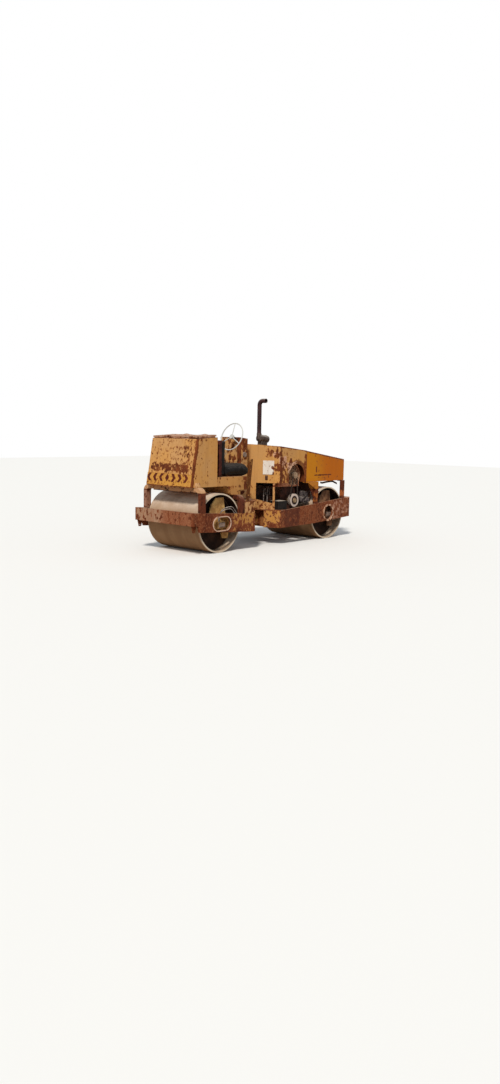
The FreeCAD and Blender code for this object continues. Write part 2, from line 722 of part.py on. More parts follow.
upright_y = -SIDE_OUT + UPRIGHT_T / 2
save("step_upright", slab_xz([(UPRIGHT_X, FLOOR_Z), (UPRIGHT_X + UPRIGHT_W, FLOOR_Z),
                              (UPRIGHT_X + UPRIGHT_W + UPRIGHT_LEAN, FLOOR_Z + UPRIGHT_H),
                              (UPRIGHT_X + UPRIGHT_LEAN, FLOOR_Z + UPRIGHT_H)],
                             upright_y, upright_y + UPRIGHT_T))

# Console with a top that slopes forward
console_top = FLOOR_Z + CONSOLE_H
console = slab_xz([(CONSOLE_AFT_X, FLOOR_Z), (CONSOLE_FORE_X, FLOOR_Z),
                   (CONSOLE_FORE_X, console_top - CONSOLE_SLOPE), (CONSOLE_AFT_X, console_top)],
                  -CONSOLE_HALF, CONSOLE_HALF)
console_edges = [e for e in console.Edges if e.BoundBox.YLength < 1 and e.BoundBox.ZLength > CONSOLE_H / 2]
save("console", console.makeFillet(CONSOLE_EDGE_R, console_edges))

# Steering wheel, nearly upright, on a short column out of the console
tilt = math.radians(WHEEL_TILT)
wheel_c = V(CONSOLE_AFT_X - WHEEL_REACH, WHEEL_Y, console_top + WHEEL_UP)
wheel_n = V(-math.cos(tilt), 0, math.sin(tilt))
wheel_up = V(math.sin(tilt), 0, math.cos(tilt))
rim_r = WHEEL_D / 2 - WHEEL_RIM_R


def wheel_rim():
    """A ring of six-sided bar, with a flat face on each side."""
    corners = []
    for i in range(WHEEL_RIM_SIDES):
        a = 2 * math.pi * i / WHEEL_RIM_SIDES
        out = rim_r + WHEEL_RIM_R * math.cos(a)
        corners.append(wheel_c + wheel_up * out + wheel_n * (WHEEL_RIM_R * math.sin(a)))
    return face(corners).revolve(wheel_c, wheel_n, 360)


spokes = []
for deg in SPOKE_ANGLES:
    out = V(0, 1, 0) * math.cos(math.radians(deg)) + wheel_up * math.sin(math.radians(deg))
    across = out.cross(wheel_n)
    corners = [wheel_c + out * (WHEEL_HUB_R / 2) + across * (SPOKE_R * a) + wheel_n * (SPOKE_R * b)
               for a, b in SPOKE_SECTION]
    spokes.append(face(corners).extrude(out * (rim_r - WHEEL_HUB_R / 2)))
column_start = wheel_c - wheel_n * WHEEL_HUB_BACK
hub = Part.makeCylinder(WHEEL_HUB_R, WHEEL_HUB_L, column_start, wheel_n)
save("steering_wheel", wheel_rim().fuse([hub] + spokes).removeSplitter())

column = Part.makeCylinder(COLUMN_R, 2 * WHEEL_REACH, column_start, wheel_n * -1)
save("steering_column", column.cut(console))


# Front frame: side plates that bend inwards behind the drum, a cross wall and a beam
def front_side_plate():
    outline = [(BEND_X, FRONT_LOW_AFT), (FRONT_MID_X, FRONT_LOW_MID), (FRONT_END_X, FRONT_LOW_FORE),
               (FRONT_END_X, FRONT_TOP_FORE), (BEND_X, REAR_TOP_FORE)]
    plate = slab_xz(outline, -SIDE_OUT, -SIDE_IN)
    vee = box(BEND_X - VEE_LEN, BEND_X, -SIDE_OUT, -SIDE_IN, FRONT_LOW_AFT, REAR_TOP_FORE)
    vee.rotate(V(BEND_X, -SIDE_OUT, 0), V(0, 0, 1), -VEE_ANGLE)
    port = rod_y(PORT_X, PORT_Z, -SIDE_OUT, -SIDE_IN, PORT_R)
    return plate.fuse(vee).cut(port).removeSplitter()


right = front_side_plate()
save("front_side_plate_right", right)
save("front_side_plate_left", mirrored(right))

beam_x = FRONT_END_X - FRONT_BEAM_DEPTH
save("front_beam", slab_xz([(beam_x, FRONT_LOW_FORE), (FRONT_END_X, FRONT_LOW_FORE),
                            (FRONT_END_X, FRONT_TOP_FORE), (beam_x, front_top(beam_x))],
                           -SIDE_IN, SIDE_IN))

vee_cos = math.cos(math.radians(VEE_ANGLE))
vee_sin = math.sin(math.radians(VEE_ANGLE))
VEE_END_X = BEND_X - VEE_LEN * vee_cos
VEE_END_HALF = SIDE_OUT - VEE_LEN * vee_sin
CROSS_X = VEE_END_X + CROSS_INSET


def between_vee(x):
    """Half the room between the bent plates' inner faces."""
    return VEE_END_HALF + (x - VEE_END_X) * vee_sin / vee_cos - PLATE_T / vee_cos


FORK_LOW_Z = TUBE_LOW - FORK_GAP - FORK_T
FORK_HIGH_Z = TUBE_HIGH + FORK_GAP


def front_cross_member():
    wall = slab_xy([(CROSS_X, -between_vee(CROSS_X)), (CROSS_X, between_vee(CROSS_X)),
                    (CROSS_X + PLATE_T, between_vee(CROSS_X + PLATE_T)),
                    (CROSS_X + PLATE_T, -between_vee(CROSS_X + PLATE_T))], FRONT_LOW_AFT, REAR_TOP_FORE)
    arms = [wedge_arm(CROSS_X, z, z + FORK_T) for z in (FORK_LOW_Z, FORK_HIGH_Z)]
    bore = rod_z(PIVOT_X, 0, FORK_LOW_Z, FORK_HIGH_Z + FORK_T, PIN_R)
    clevis = []
    for z, head in ((CYL_Z - CLEVIS_HALF - CLEVIS_T, -PIN_TAIL), (CYL_Z + CLEVIS_HALF, CLEVIS_T)):
        plate = slab_xy([(CROSS_X, CYL_Y - 2 * EYE_R), (CROSS_X, CYL_Y + 2 * EYE_R),
                         (PIVOT_X, CYL_Y + EYE_R), (PIVOT_X, CYL_Y - EYE_R)], z, z + CLEVIS_T)
        clevis.append(plate.fuse(rod_z(PIVOT_X, CYL_Y, z, z + CLEVIS_T, EYE_R)))
        clevis.append(rod_z(PIVOT_X, CYL_Y, z + head, z + head + PIN_TAIL, CLEVIS_HEAD_R))
    return wall.fuse(arms + clevis).cut(bore).removeSplitter()


save("front_cross_member", front_cross_member())

pin_top = FORK_HIGH_Z + FORK_T
pin = rod_z(PIVOT_X, 0, FORK_LOW_Z - PIN_TAIL, pin_top, PIN_R)
save("steering_pin", pin.fuse(rod_z(PIVOT_X, 0, pin_top, pin_top + PIN_HEAD_T, PIN_HEAD_R)).removeSplitter())

# Steering cylinder: the barrel on the rear frame, its rod reaching to the front fork
barrel = rod_x(CYL_Y, CYL_Z, CYL_AFT_X + CYL_R, CYL_AFT_X + CYL_LEN, CYL_R)
eye = rod_z(CYL_AFT_X, CYL_Y, CYL_Z - CYL_R, CYL_Z + CYL_R, EYE_R)
neck = rod_x(CYL_Y, CYL_Z, CYL_AFT_X, CYL_AFT_X + 2 * CYL_R, CYL_NECK_R)
rod_bore = rod_x(CYL_Y, CYL_Z, CYL_AFT_X + 2 * CYL_R, CYL_AFT_X + CYL_LEN, ROD_R + RUNNING_GAP)
pin_half = CYL_R + EAR_GAP + EAR_T + CYL_PIN_PROUD
barrel_pin = rod_z(CYL_AFT_X, CYL_Y, CYL_Z - pin_half, CYL_Z + pin_half, CYL_PIN_R)
save("steering_cylinder_barrel", barrel.fuse([eye, neck, barrel_pin]).cut(rod_bore).removeSplitter())

rod = rod_x(CYL_Y, CYL_Z, CYL_AFT_X + CYL_LEN - ROD_INSIDE, PIVOT_X - CYL_PIN_R, ROD_R)
rod_eye = rod_z(PIVOT_X, CYL_Y, CYL_Z - EYE_HALF, CYL_Z + EYE_HALF, EYE_R)
rod_hole = rod_z(PIVOT_X, CYL_Y, CYL_Z - ROD_R, CYL_Z + ROD_R, CYL_PIN_R)
save("steering_cylinder_rod", rod.fuse(rod_eye).cut(rod_hole).removeSplitter())

# Engine bay floor, on the bent plates and the cross wall
deck_z = REAR_TOP_FORE + DECK_T
save("bay_floor", slab_xy([(VEE_END_X, -VEE_END_HALF), (BEND_X, -SIDE_OUT), (BEND_X, -SIDE_IN),
                           (DECK_FORE_X, -SIDE_IN), (DECK_FORE_X, SIDE_IN), (BEND_X, SIDE_IN),
                           (BEND_X, SIDE_OUT), (VEE_END_X, VEE_END_HALF),
                           (DECK_NOSE_X, DECK_NOSE_HALF), (DECK_NOSE_X, -DECK_NOSE_HALF)],
                          REAR_TOP_FORE, deck_z))

# Hood: a roof sheet, a side sheet each with an arched hole, and a nose that is a vee in plan
NOSE_X = HOOD_BEND_X - HOOD_VEE_LEN * vee_cos
NOSE_HALF = HOOD_HALF - HOOD_VEE_LEN * vee_sin


def roof_z(x):
    if x < HOOD_BEND_X:
        return line_z(x, NOSE_X, HOOD_NOSE_Z, HOOD_BEND_X, HOOD_BEND_Z)
    return line_z(x, HOOD_BEND_X, HOOD_BEND_Z, HOOD_SPLIT_X, HOOD_SPLIT_Z)


def hood_roof():
    xs = [NOSE_X, HOOD_BEND_X, HOOD_SPLIT_X]
    outline = [(x, roof_z(x)) for x in xs] + [(x, roof_z(x) - HOOD_T) for x in reversed(xs)]
    sheet = slab_xz(outline, -HOOD_HALF, HOOD_HALF)
    plan = slab_xy([(NOSE_X, -NOSE_HALF), (HOOD_BEND_X, -HOOD_HALF), (HOOD_SPLIT_X, -HOOD_HALF),
                    (HOOD_SPLIT_X, HOOD_HALF), (HOOD_BEND_X, HOOD_HALF), (NOSE_X, NOSE_HALF)],
                   HOOD_FLOOR_Z, 2 * HOOD_NOSE_Z)
    inlet = rod_z(SILENCER_X, 0, HOOD_FLOOR_Z, 2 * HOOD_NOSE_Z, INLET_R + INLET_GAP)
    return sheet.common(plan).cut(inlet)


roof = hood_roof()
save("hood_top", roof)


def hood_side():
    panel = slab_xz([(HOOD_BEND_X, HOOD_FLOOR_Z), (HOOD_SPLIT_X, HOOD_FLOOR_Z),
                     (HOOD_SPLIT_X, HOOD_SPLIT_Z - HOOD_T), (HOOD_BEND_X, HOOD_BEND_Z - HOOD_T)],
                    -HOOD_HALF, -HOOD_HALF + HOOD_T)
    spring_z = HOOD_FLOOR_Z + ARCH_SPRING
    arch = rod_y(BLOWER_X, spring_z, -HOOD_HALF, -HOOD_HALF + HOOD_T, ARCH_R)
    gate = box(BLOWER_X - ARCH_R, BLOWER_X + ARCH_R, -HOOD_HALF, -HOOD_HALF + HOOD_T, HOOD_FLOOR_Z, spring_z)
    return panel.cut([arch, gate])


right = hood_side()
save("hood_side_right", right)
save("hood_side_left", mirrored(right))


def vee_sheet(outline, t):
    """A sheet in the slanting plane: distances from the hood's corner, and heights."""
    sheet = slab_xz([(HOOD_BEND_X - s, z) for s, z in outline], -HOOD_HALF, -HOOD_HALF + t)
    sheet.rotate(V(HOOD_BEND_X, -HOOD_HALF, 0), V(0, 0, 1), -VEE_ANGLE)
    return sheet


def hood_nose():
    panel = vee_sheet([(0, HOOD_FLOOR_Z), (LEG_START, HOOD_FLOOR_Z), (LEG_START, LEG_FLOOR_Z),
                       (HOOD_VEE_LEN, LEG_FLOOR_Z), (HOOD_VEE_LEN, HOOD_NOSE_Z - HOOD_T),
                       (0, HOOD_BEND_Z - HOOD_T)], HOOD_T)
    end = box(NOSE_X, NOSE_X + HOOD_T, -NOSE_HALF, NOSE_HALF, LEG_FLOOR_Z, HOOD_NOSE_Z)
    beyond_bend = box(HOOD_BEND_X, HOOD_SPLIT_X, -SIDE_OUT, SIDE_OUT, 0, HOOD_NOSE_Z)
    above_roof = slab_xz([(NOSE_X, roof_z(NOSE_X) - HOOD_T), (HOOD_BEND_X, HOOD_BEND_Z - HOOD_T),
                          (HOOD_BEND_X, 2 * HOOD_NOSE_Z), (NOSE_X, 2 * HOOD_NOSE_Z)], -SIDE_OUT, SIDE_OUT)
    return panel.fuse([mirrored(panel), end]).cut([beyond_bend, above_roof]).removeSplitter()


save("hood_nose", hood_nose())


def bay_rail():
    post_end = RAIL_POST + RAIL_POST_W
    rail = vee_sheet([(RAIL_POST, deck_z), (HOOD_VEE_LEN, deck_z), (HOOD_VEE_LEN, LEG_FLOOR_Z),
                      (LEG_START, LEG_FLOOR_Z), (post_end, RAIL_SIDE_Z), (post_end, HOOD_FLOOR_Z),
                      (RAIL_POST, HOOD_FLOOR_Z)], RAIL_T)
    kick = box(NOSE_X, NOSE_X + RAIL_T, -NOSE_HALF, NOSE_HALF, deck_z, LEG_FLOOR_Z)
    return rail.fuse([mirrored(rail), kick]).removeSplitter()


save("bay_rail", bay_rail())


# Front water tank, with its roof running down to the front
def front_tank():
    outline = [(HOOD_SPLIT_X, HOOD_FLOOR_Z), (TANK_END_X, HOOD_FLOOR_Z), (TANK_END_X, HOOD_END_Z),
               (HOOD_SPLIT_X, HOOD_SPLIT_Z)]
    block = slab_xz(outline, -HOOD_HALF, HOOD_HALF)
    edges = [e for e in block.Edges if e.BoundBox.YLength < 1
             and (e.BoundBox.ZMin > HOOD_FLOOR_Z + 1 or e.BoundBox.XMin > TANK_END_X - 1)]
    return block.makeFillet(TANK_ROUND, edges)


save("front_tank", front_tank())

# Engine: crankcase on four feet, and three finned cylinders
bed_aft = ENGINE_X - BED_AFT
save("engine_bed", [box(x, x + BED_W, -SIDE_IN, SIDE_IN, BED_Z - BED_H, BED_Z)
                    for x in (bed_aft, bed_aft + BED_SPACING)])


def engine_block():
    low = BED_Z + CASE_UP
    high = low + CASE_H
    x0 = ENGINE_X - CASE_HALF_LEN
    x1 = ENGINE_X + CASE_HALF_LEN
    case = slab_xz([(x0 + CASE_CORNER, low), (x1 - CASE_CORNER, low), (x1, low + 2 * CASE_CORNER),
                    (x1, high - CASE_CORNER), (x1 - CASE_CORNER, high), (x0 + CASE_CORNER, high),
                    (x0, high - CASE_CORNER), (x0, low + 2 * CASE_CORNER)], -ENGINE_HALF, ENGINE_HALF)
    foot_y = ENGINE_HALF - CASE_FOOT_INSET
    feet = [box(x, x + BED_W - CASE_UP, y, y + CASE_FOOT_W, BED_Z, low + 2 * CASE_CORNER)
            for x in (bed_aft + CASE_UP, bed_aft + BED_SPACING) for y in (-foot_y, foot_y - CASE_FOOT_W)]
    return case.fuse(feet).removeSplitter()


save("engine_block", engine_block())


def block_about(y, half_x, half_y, z0, z1):
    return box(BLOWER_X - half_x, BLOWER_X + half_x, y - half_y, y + half_y, z0, z1)


def engine_cylinder(y):
    low = BED_Z + CASE_UP + CASE_H
    top = low + CYLINDER_H
    pieces = [block_about(y, CYLINDER_HALF_X + FIN_OUT, CYLINDER_HALF_Y + FIN_OUT,
                          low + FIN_PITCH * (i + 1), low + FIN_PITCH * (i + 1) + FIN_T)
              for i in range(FIN_COUNT)]
    pieces.append(block_about(y, CYLINDER_HALF_X + HEAD_OUT, CYLINDER_HALF_Y + HEAD_OUT, top, top + HEAD_H))
    return block_about(y, CYLINDER_HALF_X, CYLINDER_HALF_Y, low, top).fuse(pieces).removeSplitter()


save("engine_cylinders", [engine_cylinder(y) for y in CYLINDER_YS])


# Pulleys: discs with a square-bottomed groove for each belt
def pulley(x, z, r, belt_ys):
    half = BELT_W / 2 + GROOVE_LIP
    disc = rod_y(x, z, min(belt_ys) - half, max(belt_ys) + half, r)
    for y in belt_ys:
        groove = rod_y(x, z, y - BELT_W / 2 - BELT_GAP, y + BELT_W / 2 + BELT_GAP, r)
        disc = disc.cut(groove.cut(rod_y(x, z, y - BELT_W, y + BELT_W, r - BELT_T)))
    return disc


def belt_loop(circles, y):
    """The wire that a belt takes round circles of (x, z, r), given in turning order."""
    normals = []
    for i, (x, z, r) in enumerate(circles):
        x2, z2, r2 = circles[(i + 1) % len(circles)]
        along = math.atan2(z2 - z, x2 - x)
        normals.append(along - math.acos((r - r2) / math.hypot(x2 - x, z2 - z)))
    edges = []
    for i, (x, z, r) in enumerate(circles):
        j = (i + 1) % len(circles)
        x2, z2, r2 = circles[j]

        def rim(angle):
            return V(x2 + r2 * math.cos(angle), y, z2 + r2 * math.sin(angle))

        start = V(x + r * math.cos(normals[i]), y, z + r * math.sin(normals[i]))
        edges.append(Part.LineSegment(start, rim(normals[i])).toShape())
        sweep = (normals[j] - normals[i]) % (2 * math.pi)
        edges.append(Part.Arc(rim(normals[i]), rim(normals[i] + sweep / 2), rim(normals[j])).toShape())
    return Part.Wire(edges)


def belt(circles, belt_y):
    y = belt_y - BELT_W / 2
    inner = [(x, z, r - BELT_T + BELT_GAP) for x, z, r in circles]
    outer = [(x, z, r + BELT_GAP) for x, z, r in circles]
    loops = [Part.Face(belt_loop(circles_at, y)).extrude(V(0, BELT_W, 0)) for circles_at in (outer, inner)]
    return loops[0].cut(loops[1])


CRANK = (CRANK_X, CRANK_Z, CRANK_R)
BLOWER = (BLOWER_X, BLOWER_Z, BLOWER_PULLEY_R)
ALTERNATOR = (ALT_X, ALT_Z, ALT_PULLEY_R)
save("drive_belts", [belt([CRANK, BLOWER], FAN_BELT_Y), belt([CRANK, ALTERNATOR], ALT_BELT_Y)])

crank = pulley(*CRANK, (FAN_BELT_Y, ALT_BELT_Y))
crank_boss = rod_y(CRANK_X, CRANK_Z, FAN_BELT_Y - 2 * BELT_W, -ENGINE_HALF, CRANK_R / 3)
save("crank_pulley", crank.fuse(crank_boss).removeSplitter())

# Alternator on an arm from the crankcase
alt_front = ALT_BELT_Y + BELT_W / 2 + GROOVE_LIP
alt_body = rod_y(ALT_X, ALT_Z, alt_front + GROOVE_LIP, -ENGINE_HALF + 2 * FORK_T, ALT_R)
alt_shaft = rod_y(ALT_X, ALT_Z, ALT_BELT_Y, alt_front + GROOVE_LIP, ALT_PULLEY_R / 2)
alt_arm = box(ENGINE_X + CASE_HALF_LEN, ALT_X, -ENGINE_HALF + CASE_UP, -ENGINE_HALF + 2 * CASE_UP,
              ALT_Z - CASE_CORNER, ALT_Z + CASE_CORNER)
alt_box = box(ALT_X - ALT_R / 2, ALT_X + ALT_R, alt_front + 2 * GROOVE_LIP, -ENGINE_HALF + FORK_T,
              ALT_Z + CASE_CORNER, ALT_Z + 2 * ALT_R)
save("alternator", pulley(*ALTERNATOR, (ALT_BELT_Y,)).fuse([alt_body, alt_shaft, alt_arm, alt_box])
     .removeSplitter())


# Blower: a ring with a back plate on a cowl that leads the air to the cylinders
def blower_housing():
    front = ALT_BELT_Y + BELT_W / 2 + 2 * GROOVE_LIP
    back = front + BLOWER_DEPTH
    cowl_top = BED_Z + CASE_UP + CASE_H + COWL_UP + COWL_H
    cowl_low = cowl_top - COWL_H
    ring = rod_y(BLOWER_X, BLOWER_Z, front, back, BLOWER_R)
    cowl = box(BLOWER_X - COWL_AFT, BLOWER_X + COWL_FORE, front, back, cowl_low, cowl_top)
    inside = rod_y(BLOWER_X, BLOWER_Z, front, back - BLOWER_WALL / 3, BLOWER_R - BLOWER_WALL)
    shaft = rod_y(BLOWER_X, BLOWER_Z, front, back, FAN_HUB_R + BELT_GAP)
    return ring.fuse(cowl).cut([inside, shaft]).removeSplitter()


save("blower_housing", blower_housing())


def blower_fan():
    front = ALT_BELT_Y + BELT_W / 2 + 2 * GROOVE_LIP
    shaft_end = -CYLINDER_YS[2] - CYLINDER_HALF_Y - FIN_OUT
    shaft = rod_y(BLOWER_X, BLOWER_Z, FAN_BELT_Y + BELT_W / 2 + GROOVE_LIP, shaft_end, FAN_HUB_R)
    blades = []
    for i in range(BLADE_COUNT):
        mid = front + BLOWER_DEPTH / 2
        blade = box(-BLADE_T / 2, BLADE_T / 2, mid - BLADE_W / 2, mid + BLADE_W / 2,
                    FAN_HUB_R - BLADE_T, BLOWER_R - BLOWER_WALL - BLADE_T / 2)
        blade.rotate(V(0, mid, 0), V(0, 0, 1), BLADE_PITCH)
        blade.rotate(V(0, 0, 0), V(0, 1, 0), 360 / BLADE_COUNT * i)
        blade.translate(V(BLOWER_X, 0, BLOWER_Z))
        blades.append(blade)
    return pulley(*BLOWER, (FAN_BELT_Y,)).fuse([shaft] + blades).removeSplitter()


save("blower_fan", blower_fan())

# Hydraulic pump at the engine's rear, and the battery on the bay floor
pump_y = -PUMP_HALF * 2
pump = box(PUMP_X - PUMP_HALF, ENGINE_X - CASE_HALF_LEN, pump_y - PUMP_HALF, pump_y + PUMP_HALF,
           PUMP_Z - PUMP_HALF, PUMP_Z + PUMP_HALF)
pump_barrel = rod_y(PUMP_X, PUMP_Z, pump_y - 2 * PUMP_HALF, pump_y, PUMP_R)
save("hydraulic_pump", pump.fuse(pump_barrel).removeSplitter())

battery = box(BATTERY_X, BATTERY_X + BATTERY_LEN, BATTERY_Y, BATTERY_Y + BATTERY_W,
              deck_z, deck_z + BATTERY_H)
battery_cap = box(BATTERY_X - BATTERY_CAP_OUT, BATTERY_X + BATTERY_LEN + BATTERY_CAP_OUT, BATTERY_Y,
                  BATTERY_Y + BATTERY_W, deck_z + BATTERY_H, deck_z + BATTERY_H + BATTERY_CAP_H)
save("battery", battery.fuse(battery_cap).removeSplitter())

# Exhaust: the silencer lies on two saddles on the roof, its inlet comes up from the heads
SILENCER_Z = roof_z(SILENCER_X) + SILENCER_UP
can = rod_x(0, SILENCER_Z, SILENCER_X - SILENCER_HALF, SILENCER_X + SILENCER_HALF, SILENCER_R)


def saddle(x):
    return slab_xz([(x, roof_z(x)), (x + SADDLE_T, roof_z(x + SADDLE_T)), (x + SADDLE_T, SILENCER_Z),
                    (x, SILENCER_Z)], -SADDLE_HALF, SADDLE_HALF)


head_z = BED_Z + CASE_UP + CASE_H + CYLINDER_H + HEAD_H / 2
manifold = bar(V(SILENCER_X, 0, head_z), V(BLOWER_X - CYLINDER_HALF_X - HEAD_OUT, 0, head_z),
               INLET_R - SPOKE_R)
inlet = rod_z(SILENCER_X, 0, head_z - INLET_R, SILENCER_Z, INLET_R)
boss_z = SILENCER_Z + SILENCER_R + BOSS_UP
boss = rod_z(PIPE_X, 0, SILENCER_Z, boss_z, BOSS_R)
save("exhaust_silencer", can.fuse([saddle(SILENCER_X - SADDLE_X), saddle(SILENCER_X + SADDLE_X), inlet, boss,
                                   manifold]).removeSplitter())


def exhaust_pipe():
    bend_z = PIPE_H - PIPE_R - ELBOW_R
    stack = rod_z(PIPE_X, 0, boss_z, bend_z, PIPE_R)
    section = Part.Face(Part.Wire([Part.makeCircle(PIPE_R, V(PIPE_X, 0, bend_z), V(0, 0, 1))]))
    elbow = section.revolve(V(PIPE_X, -ELBOW_R, bend_z), V(1, 0, 0), 90)
    end_y = -ELBOW_R - OUTLET_LEN
    outlet = rod_y(PIPE_X, bend_z + ELBOW_R, end_y, -ELBOW_R, PIPE_R)
    mouth = rod_y(PIPE_X, bend_z + ELBOW_R, end_y, -ELBOW_R, PIPE_R - PIPE_WALL)
    return stack.fuse([elbow, outlet]).cut(mouth).removeSplitter()


save("exhaust_pipe", exhaust_pipe())


# Hoses: straight runs joined by tangent arcs, with a six-sided section
def hose(points):
    along = V(points[1] - points[0]).normalize()
    side = along.cross(V(0, 1, 0)) if abs(along.y) < 0.9 else along.cross(V(1, 0, 0))
    side.normalize()
    lift = along.cross(side)
    ring = []
    for i in range(HOSE_SIDES):
        a = 2 * math.pi * i / HOSE_SIDES
        ring.append(points[0] + side * (HOSE_R * math.cos(a)) + lift * (HOSE_R * math.sin(a)))
    section = face(ring)
    start = points[0]
    pieces = []
    radii = []
    for before, at, after in zip(points, points[1:], points[2:]):
        trim = 0.45 * min((at - before).Length, (after - at).Length)
        u = V(at - before).normalize()
        w = V(after - at).normalize()
        turn = u.getAngle(w)
        r = trim / math.tan(turn / 2)
        run = at - u * trim - start
        pieces.append(section.extrude(run))
        section.translate(run)
        inward = V(w - u * u.dot(w)).normalize()
        centre = at - u * trim + inward * r
        pieces.append(section.revolve(centre, u.cross(w), math.degrees(turn)))
        section.rotate(centre, u.cross(w), math.degrees(turn))
        start = at + w * trim
        radii.append(round(r))
    pieces.append(section.extrude(points[-1] - start))
    print("hose radii", radii)
    return pieces[0].fuse(pieces[1:]).removeSplitter()


# The rear drum's hoses rise from the motor's block, arch over the side plate's edge inside the
# drum's end, come out past its rim and end at the cross wall.
# Columns: forward from the axle, out from the drum's end, up from the axle
DRUM_HOSE = [(10.0, -15.0, 20.0), (10.0, -15.0, 95.0), (46.0, -13.0, 170.0), (140.0, -11.0, 200.0),
             (246.0, -9.0, 204.0), (300.0, -7.0, 148.0), (338.0, 11.0, 84.0), (395.0, 20.0, 50.0),
             (490.0, 15.0, 34.0)]
DRUM_HOSE_STEP = V(-18.0, 0, -26.0)


def drum_hose(i):
    x0, out, z0 = DRUM_HOSE[0]
    start = V(REAR_AXLE_X + x0 + DRUM_HOSE_STEP.x * i, -DRUM_HALF - out, AXLE_Z + z0)
    points = [V(REAR_AXLE_X + x, -DRUM_HALF - y, AXLE_Z + z) + DRUM_HOSE_STEP * i
              for x, y, z in DRUM_HOSE[1:]]
    return hose([start] + points + [V(WALL_X - PLATE_T, points[-1].y, points[-1].z)])


save("drum_hoses", [drum_hose(i) for i in range(2)])

# Pump hoses: from the pump's top over and down to the bay floor.
# Columns: aft from the pump, out to the side, up from the pump's top
PUMP_HOSE = [(0.0, 0.0, 0.0), (0.0, 0.0, 74.0), (58.0, 33.0, 112.0), (116.0, 66.0, 74.0),
             (126.0, 72.0, -40.0)]
PUMP_PORTS = [(-28.0, -132.0, 0.0), (30.0, -150.0, 14.0)]


def pump_hose(x, y, more):
    top = PUMP_Z + PUMP_HALF
    points = [V(PUMP_X + x - aft, y - out, top + up + (more if up > 50 else 0)) for aft, out, up in PUMP_HOSE]
    last = points[-1]
    return hose(points + [V(last.x, last.y, deck_z)])


save("pump_hoses", [pump_hose(*port) for port in PUMP_PORTS])

print(len(made), "nodes")
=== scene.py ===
# %% [markdown]
# # A tandem roller left outside for years
# The machine rolls on two wide steel drums. A hinge joins its rear half, with the seat and a
# water tank, to its front half, with the engine and a second tank. Its shapes come packed from
# CAD. This lesson dresses them: worn paint, rust, dust, a padded seat, painted marks and bolts.
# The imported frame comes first, because every new piece is placed by it and rides on its bodies.

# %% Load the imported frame
import math

import bmesh
import bpy
from mathutils import Matrix, Vector


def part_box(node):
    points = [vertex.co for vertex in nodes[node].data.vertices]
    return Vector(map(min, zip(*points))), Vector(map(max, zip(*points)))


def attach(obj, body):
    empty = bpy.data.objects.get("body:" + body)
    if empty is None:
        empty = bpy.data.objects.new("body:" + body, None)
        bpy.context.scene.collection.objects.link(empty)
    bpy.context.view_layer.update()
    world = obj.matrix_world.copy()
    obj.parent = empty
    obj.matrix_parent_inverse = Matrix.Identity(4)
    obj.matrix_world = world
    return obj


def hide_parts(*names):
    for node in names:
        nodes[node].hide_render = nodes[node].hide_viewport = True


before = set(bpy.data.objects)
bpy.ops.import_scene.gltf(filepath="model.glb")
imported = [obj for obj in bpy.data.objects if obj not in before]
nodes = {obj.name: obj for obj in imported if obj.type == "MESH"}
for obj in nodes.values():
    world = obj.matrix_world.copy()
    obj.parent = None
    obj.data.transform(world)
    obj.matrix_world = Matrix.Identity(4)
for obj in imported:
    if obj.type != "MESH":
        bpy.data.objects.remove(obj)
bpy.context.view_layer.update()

# %% [markdown]
# ## Camera
# The photograph was taken at eye height, from the machine's right and rear. The lens is wide,
# so verticals lean a little, and the camera has a slight roll.

# %% Camera
FOCAL_PIXELS = 838
PHOTO_HEIGHT = 1084
SENSOR_MM = 36


def link(piece):
    bpy.context.scene.collection.objects.link(piece)


camera = bpy.data.objects.new("camera", bpy.data.cameras.new("camera"))
link(camera)
camera.location = (-8.9879, -8.0541, 1.6)
camera.rotation_euler = [math.radians(a) for a in (82.4188, -1.0111, -48.0354)]
camera.data.lens = FOCAL_PIXELS / PHOTO_HEIGHT * SENSOR_MM
bpy.context.scene.camera = camera
bpy.context.scene.view_settings.view_transform = "Standard"
print("camera", round(camera.data.lens, 2), "mm")

# %% [markdown]
# ## Floor and light
# A pale floor keeps the shadow. To the camera it is nearly white, and its bounced light is
# the warm brown of a dirt yard. The sun stands behind the machine's right rear, soft through
# haze: one wide lamp comes from there and the sky fills the rest.

# %% Colours as a paint chart gives them
def chart(red, green, blue):
    """A colour read from a chart, 0 to 255, as the shader wants it."""
    steps = [c / 255 for c in (red, green, blue)]
    return [c / 12.92 if c < 0.04045 else ((c + 0.055) / 1.055) ** 2.4 for c in steps] + [1.0]


# %% Shader nodes, made and fed
def feed(value, socket):
    """Link a socket into another, or set a value on it. Three numbers for a colour are a chart's."""
    if isinstance(value, bpy.types.NodeSocket):
        socket.id_data.links.new(value, socket)
    elif socket.type == "RGBA" and len(value) == 3:
        socket.default_value = chart(*value)
    else:
        socket.default_value = value


def made(tree, kind, **inputs):
    """A new node, with its inputs fed by name."""
    node = tree.nodes.new("ShaderNode" + kind)
    for name, value in inputs.items():
        feed(value, node.inputs[name.replace("_", " ")])
    return node


def sums(kind, *values):
    """A Math node. Numbers and sockets may stand side by side in it."""
    tree = next(value.id_data for value in values if isinstance(value, bpy.types.NodeSocket))
    node = made(tree, "Math")
    node.operation = kind
    for value, socket in zip(values, node.inputs):
        feed(value, socket)
    return node.outputs[0]


def mixed(share, under, over):
    node = made(share.id_data, "Mix")
    node.data_type = "RGBA"
    for value, socket in ((share, 0), (under, 6), (over, 7)):
        feed(value, node.inputs[socket])
    return node.outputs[2]


# %% Nothing selected, or one piece alone
def select_nothing():
    bpy.ops.object.select_all(action="DESELECT")


def select_only(piece):
    select_nothing()
    piece.select_set(True)
    bpy.context.view_layer.objects.active = piece


